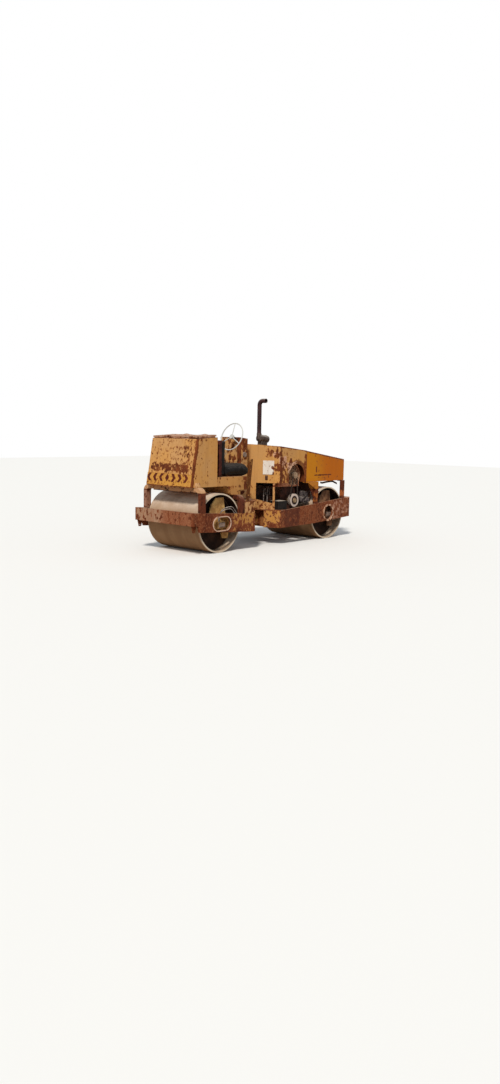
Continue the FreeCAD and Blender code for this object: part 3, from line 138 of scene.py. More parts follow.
# %% Floor
select_nothing()
bpy.ops.mesh.primitive_plane_add(size=60, location=(0, 0, -0.002))
floor = bpy.context.object
floor.name = "floor"
ground = bpy.data.materials.new("pale_floor")
ground.use_nodes = True
shader = ground.node_tree.nodes["Principled BSDF"]
shader.inputs["Roughness"].default_value = 0.95
seen = made(ground.node_tree, "LightPath").outputs["Is Camera Ray"]
feed(mixed(seen, (0.42, 0.34, 0.27, 1), (0.88, 0.87, 0.85, 1)), shader.inputs["Base Color"])
floor.data.materials.append(ground)
print("floor", [round(d, 1) for d in floor.dimensions])

# %% Sky
world = bpy.data.worlds.new("sky")
world.use_nodes = True
bpy.context.scene.world = world
tree = world.node_tree
sky = tree.nodes["Background"]
sky.inputs["Color"].default_value = (0.86, 0.93, 1.0, 1)
sky.inputs["Strength"].default_value = 0.5
white = made(tree, "Background", Color=(1, 1, 1, 1), Strength=1.0)
rays = made(tree, "LightPath").outputs
blend = made(tree, "MixShader", Fac=sums("MAXIMUM", rays["Is Camera Ray"], rays["Is Transmission Ray"]))
feed(sky.outputs[0], blend.inputs[1])
feed(white.outputs[0], blend.inputs[2])
feed(blend.outputs[0], tree.nodes["World Output"].inputs["Surface"])

# %% Sun through haze
sun = bpy.data.objects.new("sun", bpy.data.lights.new("sun", "SUN"))
link(sun)
sun.data.energy = 2.85
sun.data.angle = math.radians(8)
sun.data.color = (1.0, 0.95, 0.87)
towards_sun = Vector((-0.62, -0.38, 0.78)).normalized()
sun.rotation_euler = towards_sun.to_track_quat("Z", "Y").to_euler()
print("sun", [round(c, 2) for c in towards_sun])

# %% [markdown]
# ## Finishes
# Everything here is painted or bare steel that has weathered. Each finish has the same few
# steps: noise in object coordinates for fading, a stretched noise for streaks, a thresholded
# noise for rust, and bump for its scale. A helper makes each, so a finish reads like a recipe.

# %% Steps of a finish
def new_finish(name, roughness, metallic=0.0):
    finish = bpy.data.materials.new(name)
    finish.use_nodes = True
    shader = finish.node_tree.nodes["Principled BSDF"]
    shader.inputs["Metallic"].default_value = metallic
    shader.inputs["Roughness"].default_value = roughness
    shader.inputs["Specular IOR Level"].default_value = 0.25
    return finish, finish.node_tree, shader


def place(tree, stretch=(1, 1, 1), shift=(0, 0, 0)):
    """Object coordinates, stretched to make streaks and shifted so that no two pieces match."""
    coords = made(tree, "TexCoord").outputs["Object"]
    return made(tree, "Mapping", Vector=coords, Scale=stretch, Location=shift).outputs["Vector"]


def cloud(where, scale, detail=4.0, roughness=0.6, distortion=0.0):
    return made(
        where.id_data, "TexNoise", Vector=where, Scale=scale, Detail=detail, Roughness=roughness,
        Distortion=distortion).outputs["Fac"]


def step_up(value, low, high):
    """0 below low, 1 above high, smooth between."""
    node = made(value.id_data, "MapRange", Value=value, From_Min=low, From_Max=high)
    node.interpolation_type = "SMOOTHSTEP"
    return node.outputs["Result"]


def times(a, b):
    return sums("MULTIPLY", a, b)


def step_down(value, low, high):
    return sums("SUBTRACT", 1.0, step_up(value, low, high))


def bumped(shader, height, strength, distance):
    bump = made(height.id_data, "Bump", Strength=strength, Distance=distance, Height=height)
    feed(bump.outputs["Normal"], shader.inputs["Normal"])


# %% Where an edge, a height or a side is
def axis_of(where, name):
    return made(where.id_data, "SeparateXYZ", Vector=where).outputs[name]


def outward(tree):
    return made(tree, "NewGeometry").outputs["Normal"]


def upward(tree, low=0.25, high=0.9):
    """1 on what faces up, 0 on walls: where dust settles."""
    return step_up(axis_of(outward(tree), "Z"), low, high)


def edges(tree, radius=0.012):
    """1 along sharp edges, where paint wears first: there a bevelled normal leaves the real one."""
    bevel = made(tree, "Bevel", Radius=radius)
    bevel.samples = 4
    dot = made(tree, "VectorMath")
    dot.operation = "DOT_PRODUCT"
    feed(bevel.outputs["Normal"], dot.inputs[0])
    feed(outward(tree), dot.inputs[1])
    return step_down(dot.outputs["Value"], 0.78, 0.995)


def room(tree, low, high, soft=0.03, lean=0.0, turn=0.0, fall=0.0):
    """1 inside a box, fading to 0 over a soft border. A lean follows the tank's slanting end,
    a turn the hood's slanting panels, and a fall a roof that drops towards the front."""
    where = place(tree)
    if turn:
        mapping = where.node
        mapping.vector_type = "TEXTURE"
        mapping.inputs["Location"].default_value = HOOD_CORNER
        mapping.inputs["Rotation"].default_value = (0, 0, turn)
    along, across, up = made(tree, "SeparateXYZ", Vector=where).outputs
    if lean:
        along = sums("MULTIPLY_ADD", up, -lean, along)
    if fall:
        up = sums("MULTIPLY_ADD", along, fall, up)
    mask = 1.0
    for value, start, end in zip((along, across, up), low, high):
        inside = times(step_up(value, start - soft, start + soft), step_down(value, end - soft, end + soft))
        mask = times(mask, inside)
    return mask


def patched(patches):
    """Ragged patches of other colours: each a tone, its share, and the room that it fills."""
    def second(tree, colour):
        for tone, share, *walls in patches:
            torn = sums("MULTIPLY_ADD", room(tree, *walls), 0.75, cloud(place(tree), 16, 8, 0.7))
            colour = mixed(times(step_up(torn, 1.12, 1.22), share), colour, tone)
        return colour

    return second


def from_axle(tree, x, z):
    """How far a point lies from a line across the machine."""
    centred = place(tree, shift=(-x, 0, -z))
    along, up = axis_of(centred, "X"), axis_of(centred, "Z")
    return sums("SQRT", sums("MULTIPLY_ADD", along, along, times(up, up)), 0.0)


# %% [markdown]
# ## Weathered paint
# The body panels keep most of their yellow, bleached in clouds. Rust has come through along
# the edges and in ragged spots with stains below. A list of places adds rust where the
# photograph shows more, or takes it away. More rust than paint gives the frame.

# %% Rust of three tones, and where the panels stand
RUST_DARK = (82, 34, 10)
RUST_MID = (122, 60, 24)
RUST_LIGHT = (164, 98, 46)
DUST = (198, 166, 138)
HOOD_CORNER = (0.058, -0.505, 0.0)
VEE_TURN = -math.radians(60)
HOOD_FALL = 0.1056
TANK_FALL = 0.144
TANK_LEAN = 0.108 / 0.615
END_X = -1.61 - TANK_LEAN * 0.865
ARCH = (0.4295, 0.973)
ARCH_RUST_R = 0.29
ARCH_PRIMER_R = 0.276
CRANK = (0.4145, 0.615)


def rust_colour(where, dark, mid, light):
    coarse = cloud(where, 7, 8, 0.7)
    fine = cloud(where, 46, 6, 0.75)
    tone = mixed(step_up(coarse, 0.36, 0.62), dark, mid)
    return mixed(step_up(fine, 0.54, 0.74), tone, light)


def weathered(name, paint, faded, rust=0.3, spots=22.0, streaks=0.25, dust=0.35, roughness=0.85, shift=0,
              tones=(RUST_DARK, RUST_MID, RUST_LIGHT), grime=0.3, worn_edges=0.6, places=(), second=None,
              breadth=0.2, over=(), flaked=None):
    """Paint with clouds of fading, rust on that share of it, stains that run down, and dust on top."""
    finish, tree, shader = new_finish(name, roughness)
    where = place(tree, stretch=(1, 1, 0.7), shift=(shift, shift * 0.7, shift * 0.3))
    falls = place(tree, stretch=(14, 14, 1.1), shift=(shift, 0, 0))
    colour = mixed(step_up(cloud(where, 2.4, 6), 0.4, 0.62), paint, faded)
    if second:
        colour = second(tree, colour)
    dirt = times(step_up(cloud(falls, 1.0, 6, 0.66), 0.46, 0.76), grime)
    colour = mixed(dirt, colour, tones[1])
    extra = times(edges(tree), 0.16 * worn_edges)
    for strength, *walls in places:
        extra = sums("MULTIPLY_ADD", room(tree, *walls), strength, extra)
    edge = 0.69 - 0.26 * rust
    blotch = sums("ADD", cloud(where, spots, 8, 0.62, 0.3), extra)
    drips = sums("SUBTRACT", cloud(falls, 1.3, 5), 0.5)
    wide = sums("SUBTRACT", cloud(where, 3.2, 4, 0.6), 0.5)
    blotch = sums("MULTIPLY_ADD", drips, streaks, blotch)
    blotch = sums("MULTIPLY_ADD", wide, breadth, blotch)
    bare = step_up(blotch, edge - 0.015, edge + 0.015)
    halo = times(step_up(blotch, edge - 0.08, edge), 0.55)
    colour = mixed(halo, colour, tones[2])
    colour = mixed(bare, colour, rust_colour(where, *tones))
    colour = patched(over)(tree, colour)
    if flaked:
        colour = flaked(tree, colour)
    settled = times(upward(tree), times(step_up(cloud(where, 9, 6, 0.7), 0.3, 0.6), dust))
    colour = mixed(settled, colour, DUST)
    feed(colour, shader.inputs["Base Color"])
    flake = sums("MULTIPLY_ADD", bare, -0.6, cloud(where, 120, 4, 0.7))
    bumped(shader, flake, 0.4, 0.004)
    return finish


# %% Places that rust more or less: strength, low and high corner in metres, softness, lean, turn, fall
TANK_RUST = [
    (0.17, (END_X - 0.02, -0.33, 1.05), (END_X + 0.03, 0.36, 1.15), 0.03, TANK_LEAN),
    (0.3, (END_X - 0.03, -0.46, 0.8), (END_X + 0.035, -0.415, 1.5), 0.014, TANK_LEAN),
    (0.1, (END_X - 0.02, -0.42, 0.8), (END_X + 0.03, -0.2, 1.4), 0.06, TANK_LEAN),
    (0.14, (END_X - 0.02, -0.45, 0.8), (END_X + 0.03, 0.45, 0.9), 0.03, TANK_LEAN),
    (-0.07, (END_X + 0.08, -0.5, 0.8), (END_X + 0.8, -0.4, 1.44), 0.03, TANK_LEAN),
]
HOOD_RUST = [
    (0.18, (0.0, -0.03, 0.86), (0.07, 0.03, 1.42), 0.02, 0, VEE_TURN),
    (0.13, (-0.2, -0.03, 1.22), (0.0, 0.03, 1.34), 0.03, 0, VEE_TURN),
    (0.15, (-0.1, -0.03, 1.04), (0.0, 0.03, 1.14), 0.02, 0, VEE_TURN),
    (0.12, (0.05, -0.52, 0.86), (0.2, -0.48, 1.24), 0.03),
    (0.14, (0.22, -0.52, 1.04), (0.62, -0.48, 1.17), 0.03),
    (0.16, (0.6, -0.52, 0.86), (0.66, -0.48, 1.36), 0.02),
    (0.2, (0.05, -0.52, 1.38), (0.66, -0.485, 1.41), 0.007, 0, 0, HOOD_FALL),
    (0.16, (0.19, -0.52, 0.86), (0.27, -0.48, 1.00), 0.03),
    (0.24, (0.27, -0.52, 1.15), (0.31, -0.48, 1.22), 0.012),
    (-0.07, (0.32, -0.52, 1.2), (0.6, -0.48, 1.35), 0.02),
    (-0.2, (-0.62, -0.03, 0.84), (-0.35, 0.03, 1.42), 0.02, 0, VEE_TURN),
    (-0.08, (-0.35, -0.03, 0.84), (-0.24, 0.03, 1.42), 0.02, 0, VEE_TURN),
    (-0.08, (-0.22, -0.03, 1.19), (-0.1, 0.03, 1.22), 0.02, 0, VEE_TURN),
]
# Patches on the hood. The first, a darker orange strip low on the slanting vee panel, is a painted shadow from
# the seat base and console. The others are paler paint.
HOOD_PATCHES_AND_SHADOW = [
    ((144, 88, 30), 0.9, (-0.49, -0.03, 0.84), (-0.415, 0.03, 1.18), 0.008, 0, VEE_TURN),
    ((222, 176, 150), 0.9, (0.2, -0.52, 1.06), (0.36, -0.48, 1.17), 0.015),
    ((214, 168, 146), 0.8, (0.02, -0.52, 1.06), (0.2, -0.48, 1.26), 0.02),
    ((214, 168, 146), 0.7, (-0.12, -0.03, 1.23), (-0.01, 0.03, 1.32), 0.02, 0, VEE_TURN),
]
CONSOLE_RUST = [
    (0.26, (-0.47, -0.2, 0.66), (-0.42, -0.15, 1.52), 0.015),
    (0.12, (-0.45, -0.2, 1.18), (-0.28, -0.17, 1.5), 0.04),
    (0.1, (-0.47, -0.14, 0.66), (-0.44, 0.02, 1.45), 0.03),
    (0.4, (0.708, -0.2, 1.34), (0.732, -0.17, 1.43), 0.006, -0.77),
]
CONSOLE_PATCHES = [
    ((196, 188, 168), 0.75, (-0.47, 0.02, 1.12), (-0.44, 0.13, 1.38), 0.02),
    ((206, 164, 128), 0.8, (-0.47, -0.17, 1.12), (-0.44, -0.04, 1.44), 0.03),
]
BASE_RUST = [
    (0.2, (-0.62, -0.45, 0.78), (-0.54, -0.41, 1.00), 0.02),
    (0.16, (-1.14, -0.45, 0.96), (-1.04, -0.41, 1.00), 0.02),
    (0.1, (-1.14, -0.45, 0.84), (-0.54, -0.41, 0.87), 0.02),
]
ORANGE_RUST = [
    (0.34, (0.62, -0.6, 0.8), (0.652, 0.6, 1.4), 0.008),
    (0.22, (1.575, -0.53, 0.8), (1.6, -0.47, 1.25), 0.008),
    (0.1, (0.95, -0.53, 0.9), (1.25, -0.49, 0.97), 0.03),
    (0.24, (0.84, -0.53, 0.955), (1.26, -0.49, 0.972), 0.005),
    (0.5, (0.878, -0.53, 1.005), (0.9, -0.49, 1.09), 0.006),
    (0.32, (0.64, -0.53, 1.398), (1.62, -0.485, 1.43), 0.007, 0, 0, TANK_FALL),
]
POST_PATCHES = [
    ((196, 124, 40), 0.9, (0.6, -0.6, 0.74), (1.00, 0.6, 0.9), 0.05),
    ((176, 104, 44), 0.7, (0.8, -0.6, 0.55), (0.9, 0.6, 0.74), 0.05),
    ((176, 100, 52), 0.8, (1.4, -0.6, 0.6), (1.6, 0.6, 0.74), 0.04),
    ((200, 154, 112), 0.9, (-1.6, -0.6, 0.795), (-1.4, 0.6, 0.9), 0.01),
    ((172, 130, 108), 0.7, (-1.6, 0.44, 0.5), (-1.4, 0.6, 0.8), 0.03),
]
print("places:", len(TANK_RUST + HOOD_RUST + CONSOLE_RUST + BASE_RUST + ORANGE_RUST))


# %% The orange tank is redder towards its front
def redder_front(tree, colour):
    where = place(tree)
    along = sums("MULTIPLY_ADD", cloud(where, 3, 4, 0.6), 0.3, axis_of(where, "X"))
    return mixed(step_up(along, 1.02, 1.34), colour, (188, 102, 6))


# %% Round the hood's arch the paint has flaked: rust in a ragged ring, pale primer at its upper left
def flaked_arch(tree, colour):
    where = place(tree)
    ragged = sums("MULTIPLY_ADD", cloud(where, 20, 7, 0.7), 0.14, from_axle(tree, *ARCH))
    ring = times(step_down(ragged, ARCH_RUST_R, ARCH_RUST_R + 0.008), 0.8)
    colour = mixed(ring, colour, rust_colour(where, RUST_DARK, RUST_MID, RUST_LIGHT))
    aft = sums("MULTIPLY_ADD", cloud(where, 8, 6, 0.7), 0.3, axis_of(where, "X"))
    primer = times(step_down(ragged, ARCH_PRIMER_R, ARCH_PRIMER_R + 0.008), step_down(aft, 0.53, 0.57))
    primer = times(primer, step_up(axis_of(where, "Z"), 0.98, 1.03))
    chips = step_up(cloud(where, 34, 8, 0.7), 0.45, 0.5)
    return mixed(times(primer, chips), colour, (224, 182, 154))


# %% Paints of the body, hood, tank and frame
POST_TONES = ((52, 20, 8), (80, 34, 17), (118, 60, 34))
yellow = weathered(
    "faded_yellow_paint", (204, 150, 84), (198, 150, 96), rust=0.37, spots=34, places=TANK_RUST, streaks=0.14)
lid_paint = weathered("lid_paint", (178, 134, 108), (188, 154, 132), rust=0.42, shift=5.5, spots=18)
yellow_base = weathered(
    "seat_base_paint", (196, 142, 80), (192, 142, 86), rust=0.34, shift=3.1, places=BASE_RUST)
hood_yellow = weathered(
    "hood_paint", (206, 150, 80), (196, 146, 88), rust=0.32, shift=7.3, spots=28, places=HOOD_RUST,
    second=patched(HOOD_PATCHES_AND_SHADOW), flaked=flaked_arch)
console_paint = weathered(
    "console_paint", (198, 146, 84), (200, 160, 118), rust=0.5, shift=1.9, places=CONSOLE_RUST, spots=18,
    second=patched(CONSOLE_PATCHES))
orange = weathered(
    "orange_paint", (200, 128, 10), (196, 122, 12), rust=0.12, shift=5.2, grime=0.1, dust=0.2, roughness=0.7,
    second=redder_front, places=ORANGE_RUST, worn_edges=1.4)
frame_rust = weathered(
    "rusted_frame", (170, 112, 60), (160, 104, 60), rust=0.98, spots=9, shift=2.2, dust=0.3, grime=0.6)
post_rust = weathered(
    "rusted_posts", (150, 92, 50), (140, 84, 50), rust=1.05, spots=10, shift=8.1, dust=0.45, grime=0.6,
    tones=POST_TONES)
painted_post = weathered(
    "painted_posts", (98, 46, 24), (92, 44, 26), rust=0.66, spots=18, shift=8.6, dust=0.4, grime=0.5,
    tones=POST_TONES, over=POST_PATCHES)
step_yellow = weathered("step_paint", (196, 146, 90), (200, 156, 110), rust=0.54, spots=26, shift=1.1)
upright_paint = weathered(
    "upright_paint", (190, 136, 70), (190, 140, 88), rust=0.74, shift=4.8,
    tones=((64, 30, 8), (100, 54, 16), (146, 92, 40)),
    places=[(0.2, (-0.8, -0.56, 0.6), (-0.55, -0.52, 1.14), 0.05)])
print("paints:", yellow.name, hood_yellow.name, orange.name, frame_rust.name)


# %% [markdown]
# ## Bent plates and the beam
# Some frame pieces change along their length. The front side plates are still yellow where
# they bend inwards and rust beyond, and the rear beam is caked with dust at its far end.

# %% Yellow on the bend, dust on the beam
RED_RUST = ((84, 34, 14), (124, 62, 32), (172, 118, 82))


def change_along(name, axis, start, end, near, far, rust, shift, spots, places=(), over=()):
    """One colour up to the start, another beyond the end, ragged between."""
    def second(tree, colour):
        along = axis_of(place(tree), axis)
        ragged = sums("MULTIPLY_ADD", sums("SUBTRACT", cloud(place(tree), 9, 6, 0.7), 0.5), 0.3, along)
        return mixed(step_up(ragged, start, end), colour, far)

    return weathered(
        name, near, near, rust=rust, spots=spots, shift=shift, second=second, grime=0.5, dust=0.5,
        tones=RED_RUST, places=places, over=over)


BENT_RUST = [
    (0.12, (-0.2, -0.6, 0.2), (0.05, -0.2, 0.32), 0.03),
    (0.05, (0.05, -0.6, 0.2), (1.7, -0.5, 0.7), 0.03),
]
BENT_PATCHES = [
    ((76, 34, 24), 0.7, (0.08, -0.6, 0.2), (0.5, -0.5, 0.6), 0.06),
    ((142, 70, 42), 0.6, (0.62, -0.6, 0.36), (1.05, -0.5, 0.6), 0.1),
    ((180, 146, 128), 0.55, (1.44, -0.6, 0.3), (1.75, -0.5, 0.62), 0.16),
    ((196, 148, 124), 0.9, (0.1, -0.6, 0.592), (1.75, -0.5, 0.63), 0.006),
    ((206, 160, 136), 0.6, (1.14, -0.6, 0.05), (1.95, -0.5, 0.85), 0.08),
]
REAR_RUST = [
    (0.08, (-1.8, -0.6, 0.2), (-0.98, -0.5, 0.7), 0.05),
    (0.08, (-1.2, -0.6, 0.2), (-0.45, -0.5, 0.36), 0.04),
]
REAR_PATCHES = [
    ((214, 182, 160), 1.0, (-1.4, -0.6, 0.1), (-0.9, -0.5515, 0.6), 0.0008),
    ((206, 164, 138), 0.8, (-1.7, -0.56, 0.566), (-0.5, -0.53, 0.6), 0.005),
]
bent_plate = change_along("bent_front_plate", "X", 0.02, 0.05, (190, 134, 66), (124, 64, 34), 0.52, 9.4, 30,
                          BENT_RUST, BENT_PATCHES)
rear_plate = change_along("rear_side_plate_rust", "X", -0.98, -0.9, (122, 62, 32), (188, 132, 66), 0.66, 3.7,
                          30, REAR_RUST, REAR_PATCHES)
dusty_beam = change_along("dusty_beam", "Y", -0.06, 0.16, (140, 84, 56), (166, 130, 104), 0.6, 4.4, 20)
front_plate = change_along("rusted_front_plate", "X", 1.2, 1.5, (140, 78, 44), (150, 112, 88), 0.72, 6.6, 18)

# %% [markdown]
# ## Bare and greasy metal
# The drums are polished by the road and then dulled by dust and water, in bands round their
# shells. The engine is cast iron under years of oil and dust. The exhaust has burnt.

# %% Drum steel
def drum_steel(name, axle, dusty_tones=((190, 168, 148), (216, 198, 180))):
    finish, tree, shader = new_finish(name, 0.85)
    where = place(tree)
    radius = from_axle(tree, axle.x, axle.z)
    side = sums("ABSOLUTE", axis_of(where, "Y"), 0.0)
    bands = cloud(place(tree, stretch=(0.8, 9, 0.8)), 1.0, 4, 0.5)
    colour = mixed(step_up(bands, 0.36, 0.66), (160, 126, 94), (174, 140, 106))
    stain = step_up(cloud(where, 3, 8, 0.65, 0.4), 0.44, 0.7)
    colour = mixed(times(stain, 0.35), colour, (130, 96, 66))
    colour = mixed(
        upward(tree, 0.15, 0.85), colour, mixed(step_up(cloud(where, 5, 8, 0.7), 0.38, 0.62), *dusty_tones))
    mud = sums("MULTIPLY_ADD", cloud(where, 14, 8, 0.75), 0.1, side)
    colour = mixed(times(step_up(mud, 0.516, 0.524), 0.7), colour, (196, 172, 144))
    # Inside the shell the steel is painted nearly black as painted shade. Where it faces up near the mouth it
    # is paler, as dust and painted light.
    inside_shade_and_light = mixed(step_up(cloud(where, 8, 8, 0.7), 0.4, 0.62), (34, 18, 12), (62, 40, 28))
    dusty = mixed(step_up(cloud(where, 5, 6, 0.7), 0.4, 0.6), (160, 136, 112), (206, 188, 168))
    low = times(upward(tree, -0.2, 0.5), step_up(radius, 0.36, 0.368))
    inside_shade_and_light = mixed(low, inside_shade_and_light, dusty)
    colour = mixed(step_up(radius, 0.3725, 0.3735), inside_shade_and_light, colour)
    rim = times(step_up(side, 0.4845, 0.4849), step_up(radius, 0.371, 0.372))
    colour = mixed(rim, colour, (214, 198, 176))
    feed(colour, shader.inputs["Base Color"])
    bumped(shader, cloud(where, 60, 5, 0.7), 0.3, 0.003)
    return finish


# %% Iron, exhaust, plastic, rod and rubber
def grimy(name, dark, light, dusty, roughness=0.7, metallic=0.0, scale=12.0, dust=0.7, shift=0, bump=0.3,
          worn_edges=0.35):
    """Two tones of grime in clouds, paler on the edges, with dust on what faces up. For some pieces below, the
    tones and the dust also hold painted light or painted shade.
    """
    finish, tree, shader = new_finish(name, roughness, metallic)
    where = place(tree, shift=(shift, 0, shift))
    colour = mixed(step_up(cloud(where, scale, 8, 0.7), 0.38, 0.64), dark, light)
    colour = mixed(times(edges(tree, 0.006), worn_edges), colour, dusty)
    patches = step_up(cloud(where, 6, 7, 0.7), 0.3, 0.58)
    settled = times(times(upward(tree), patches), dust)
    feed(mixed(settled, colour, dusty), shader.inputs["Base Color"])
    bumped(shader, cloud(where, scale * 8, 5, 0.7), bump, 0.003)
    return finish


iron = grimy("engine_iron", (42, 23, 17), (90, 52, 38), (150, 124, 102))
# The cowl's tones are paler than its iron: painted light for the sun that reaches in through the arch.
cowl_iron_painted_light = grimy("cowl_iron_painted_light", (150, 80, 52), (204, 140, 100), (196, 156, 126), shift=2)
fan_iron = grimy("fan_iron", (126, 100, 78), (170, 144, 118), (190, 168, 144), shift=2.6)
screen_wire = grimy("screen_wire", (156, 104, 74), (190, 152, 120), (196, 178, 154), shift=3.6)
# The rear carriers are painted about half again brighter than their paint: painted light for the sun on them
# inside the drum.
carrier_paint_painted_light = grimy("carrier_paint_painted_light", (160, 116, 66), (216, 174, 108), (196, 166, 130), scale=9, shift=5)
dull_carrier = grimy("dull_carrier", (88, 54, 36), (152, 112, 82), (196, 170, 146), scale=12, shift=7)
# The alternator's pale clouds and fully dusted top are dust and also painted highlights.
alternator_skin = grimy(
    "alternator_skin", (26, 20, 22), (108, 98, 98), (196, 184, 174), scale=16, shift=6, dust=1)
burnt = grimy("burnt_exhaust", (38, 24, 30), (72, 46, 46), (150, 138, 132), scale=9, shift=4, worn_edges=0.2)
# The can is dark below a fully dusted top: burnt metal and dust, with painted shade on its underside.
silencer_skin = grimy(
    "silencer_skin", (46, 38, 36), (92, 78, 72), (172, 162, 152), scale=9, shift=4.5, dust=1, worn_edges=0.2)
plastic = grimy(
    "pale_plastic", (196, 196, 192), (216, 216, 212), (190, 180, 166), 0.5, scale=5, dust=0.4, bump=0.08,
    worn_edges=0)
rod_metal = grimy(
    "bright_rod", (120, 116, 110), (168, 166, 162), (150, 138, 120), 0.35, 0.85, scale=14, bump=0.05)
rubber = grimy("dry_rubber", (30, 25, 23), (56, 46, 40), (120, 104, 90), 0.8, scale=18)
# The hoses are paler than dark rubber. This is painted light on hoses that lie in the bay's shade, with dust on
# top.
hose_skin = grimy("dusty_hose_painted_light", (84, 72, 68), (158, 146, 140), (206, 194, 182), 0.8, scale=24)
battery_skin = grimy("battery_case", (18, 14, 13), (36, 30, 27), (190, 176, 160), 0.6, dust=1, worn_edges=0.1)
print("metals:", iron.name, burnt.name, plastic.name)


# %% Pulley, bright where the belt runs
def pulley_face(name, x, z):
    finish, tree, shader = new_finish(name, 0.8)
    where = place(tree)
    radius = sums("MULTIPLY_ADD", cloud(where, 40, 5, 0.7), 0.008, from_axle(tree, x, z))
    colour = mixed(step_up(cloud(where, 30, 6, 0.7), 0.4, 0.6), (120, 98, 74), (164, 140, 108))
    colour = mixed(step_up(radius, 0.038, 0.044), colour, (48, 32, 28))
    colour = mixed(step_up(radius, 0.066, 0.071), colour, (206, 190, 178))
    feed(colour, shader.inputs["Base Color"])
    bumped(shader, cloud(where, 90, 4, 0.7), 0.3, 0.002)
    return finish


ring_iron = pulley_face("pulley_iron", *CRANK)

# %% [markdown]
# ## Vinyl
# The seat is black vinyl over foam. Its grain is fine and cellular, and it has gone grey
# where it faces the sky.

# %% Seat vinyl
def vinyl_finish():
    finish, tree, shader = new_finish("worn_vinyl", 0.55)
    where = place(tree)
    colour = mixed(step_up(cloud(where, 9, 6, 0.65), 0.4, 0.7), (16, 13, 13), (30, 26, 25))
    feed(mixed(times(upward(tree), 0.3), colour, (84, 74, 66)), shader.inputs["Base Color"])
    cells = made(tree, "TexVoronoi", Vector=where, Scale=380)
    bumped(shader, cells.outputs["Distance"], 0.25, 0.001)
    return finish


vinyl = vinyl_finish()

# %% [markdown]
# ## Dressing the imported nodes
# Each node keeps its CAD shape and gets its finish here, as the table says.

# %% Which node wears what
rear_axle = sum(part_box("rear_drum"), Vector()) / 2
front_axle = sum(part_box("front_drum"), Vector()) / 2
WEARS = [
    (drum_steel("rear_drum_steel", rear_axle), "rear_drum"),
    (drum_steel("front_drum_steel", front_axle, ((206, 190, 178), (228, 216, 206))), "front_drum"),
    (yellow, "rear_tank"),
    (lid_paint, "rear_tank_lid"),
    (yellow_base, "seat_base seat_base_apron"),
    (step_yellow, "step_brackets bay_rail"),
    (console_paint, "console"),
    (hood_yellow, "hood_top hood_side_right hood_side_left hood_nose"),
    (orange, "front_tank"),
    (frame_rust, "rear_cross_member scraper_brackets platform front_cross_member bay_floor engine_bed"),
    (painted_post, "rear_posts front_posts"),
    (post_rust, "seat_frame"),
    (alternator_skin, "alternator"),
    (upright_paint, "step_upright"),
    (front_plate, "front_beam"),
    (bent_plate, "front_side_plate_right front_side_plate_left"),
    (rear_plate, "rear_side_plate_right rear_side_plate_left"),
    (carrier_paint_painted_light, "rear_drum_carriers"),
    (dull_carrier, "front_drum_carriers"),
    (dusty_beam, "rear_beam"),
    (iron, "engine_block engine_cylinders hydraulic_pump"),
    (iron, "steering_pin steering_cylinder_barrel steering_column"),
    (fan_iron, "blower_fan"),
    (cowl_iron_painted_light, "blower_housing"),
    (ring_iron, "crank_pulley"),
    (burnt, "exhaust_pipe"),
    (silencer_skin, "exhaust_silencer"),
    (plastic, "steering_wheel"),
    (rod_metal, "steering_cylinder_rod"),
    (rubber, "drive_belts"),
    (hose_skin, "drum_hoses pump_hoses"),
    (battery_skin, "battery"),
    (vinyl, "seat_cushion seat_backrest"),
]


def wear(piece, finish):
    piece.data.materials.clear()
    piece.data.materials.append(finish)


dressed = set()
for finish, names in WEARS:
    for name in names.split():
        wear(nodes[name], finish)
        dressed.add(name)
print("dressed", len(dressed), "left", sorted(set(nodes) - dressed))

# %% [markdown]
# ## Tools for small pieces
# A small piece starts as a primitive at its place and size, and is shaped in edit mode. A
# place is a matrix: X to the right along the surface, Y up along it, Z out of it, so the same
# steps serve on any panel.

# %% Places on a surface, and edit mode
def point(x, y, z):
    return Vector((x, y, z))


FORWARD, ACROSS, UP = point(1, 0, 0), point(0, 1, 0), point(0, 0, 1)
OTHER_SIDE = Matrix.Diagonal((1, -1, 1, 1))


def facing(origin, right, up):
    right = Vector(right).normalized()
    up = Vector(up).normalized()
    return Matrix.Translation(origin) @ Matrix((right, up, right.cross(up))).transposed().to_4x4()


def out_of(at):
    return at.to_3x3() @ UP


def edit(piece):
    select_only(piece)
    bpy.ops.object.mode_set(mode="EDIT")
    bpy.ops.mesh.select_all(action="SELECT")


def settle(piece):
    """Back to object mode, with its normals outwards and its place in its mesh."""
    if bpy.context.mode == "EDIT_MESH":
        bpy.ops.mesh.select_all(action="SELECT")
        bpy.ops.mesh.normals_make_consistent(inside=False)
        bpy.ops.object.mode_set(mode="OBJECT")
    bpy.ops.object.transform_apply(location=True, rotation=True, scale=True)


def pick(piece, kind, wanted):
    """Select the faces or points that a test names, and nothing else."""
    bpy.ops.mesh.select_all(action="DESELECT")
    bpy.ops.mesh.select_mode(type=kind)
    mesh = bmesh.from_edit_mesh(piece.data)
    for part in mesh.faces if kind == "FACE" else mesh.verts:
        if wanted(part):
            part.select_set(True)
    bmesh.update_edit_mesh(piece.data)


def pick_facing(piece, direction):
    pick(piece, "FACE", lambda face: face.normal.dot(direction) > 0.95)


def draw_out(step):
    bpy.ops.mesh.extrude_region_move(TRANSFORM_OT_translate={"value": step})


def named(name, scale=(1, 1, 1)):
    """The primitive just added, with its name and size."""
    piece = bpy.context.object
    piece.name = name
    piece.scale = scale
    settle(piece)
    return piece


def block(name, at, size):
    select_nothing()
    bpy.ops.mesh.primitive_cube_add(size=1, location=at.translation, rotation=at.to_euler())
    return named(name, size)


def disc(name, at, radius, depth, sides=48):
    select_nothing()
    bpy.ops.mesh.primitive_cylinder_add(
        vertices=sides, radius=radius, depth=depth, location=at.translation, rotation=at.to_euler())
    return named(name)


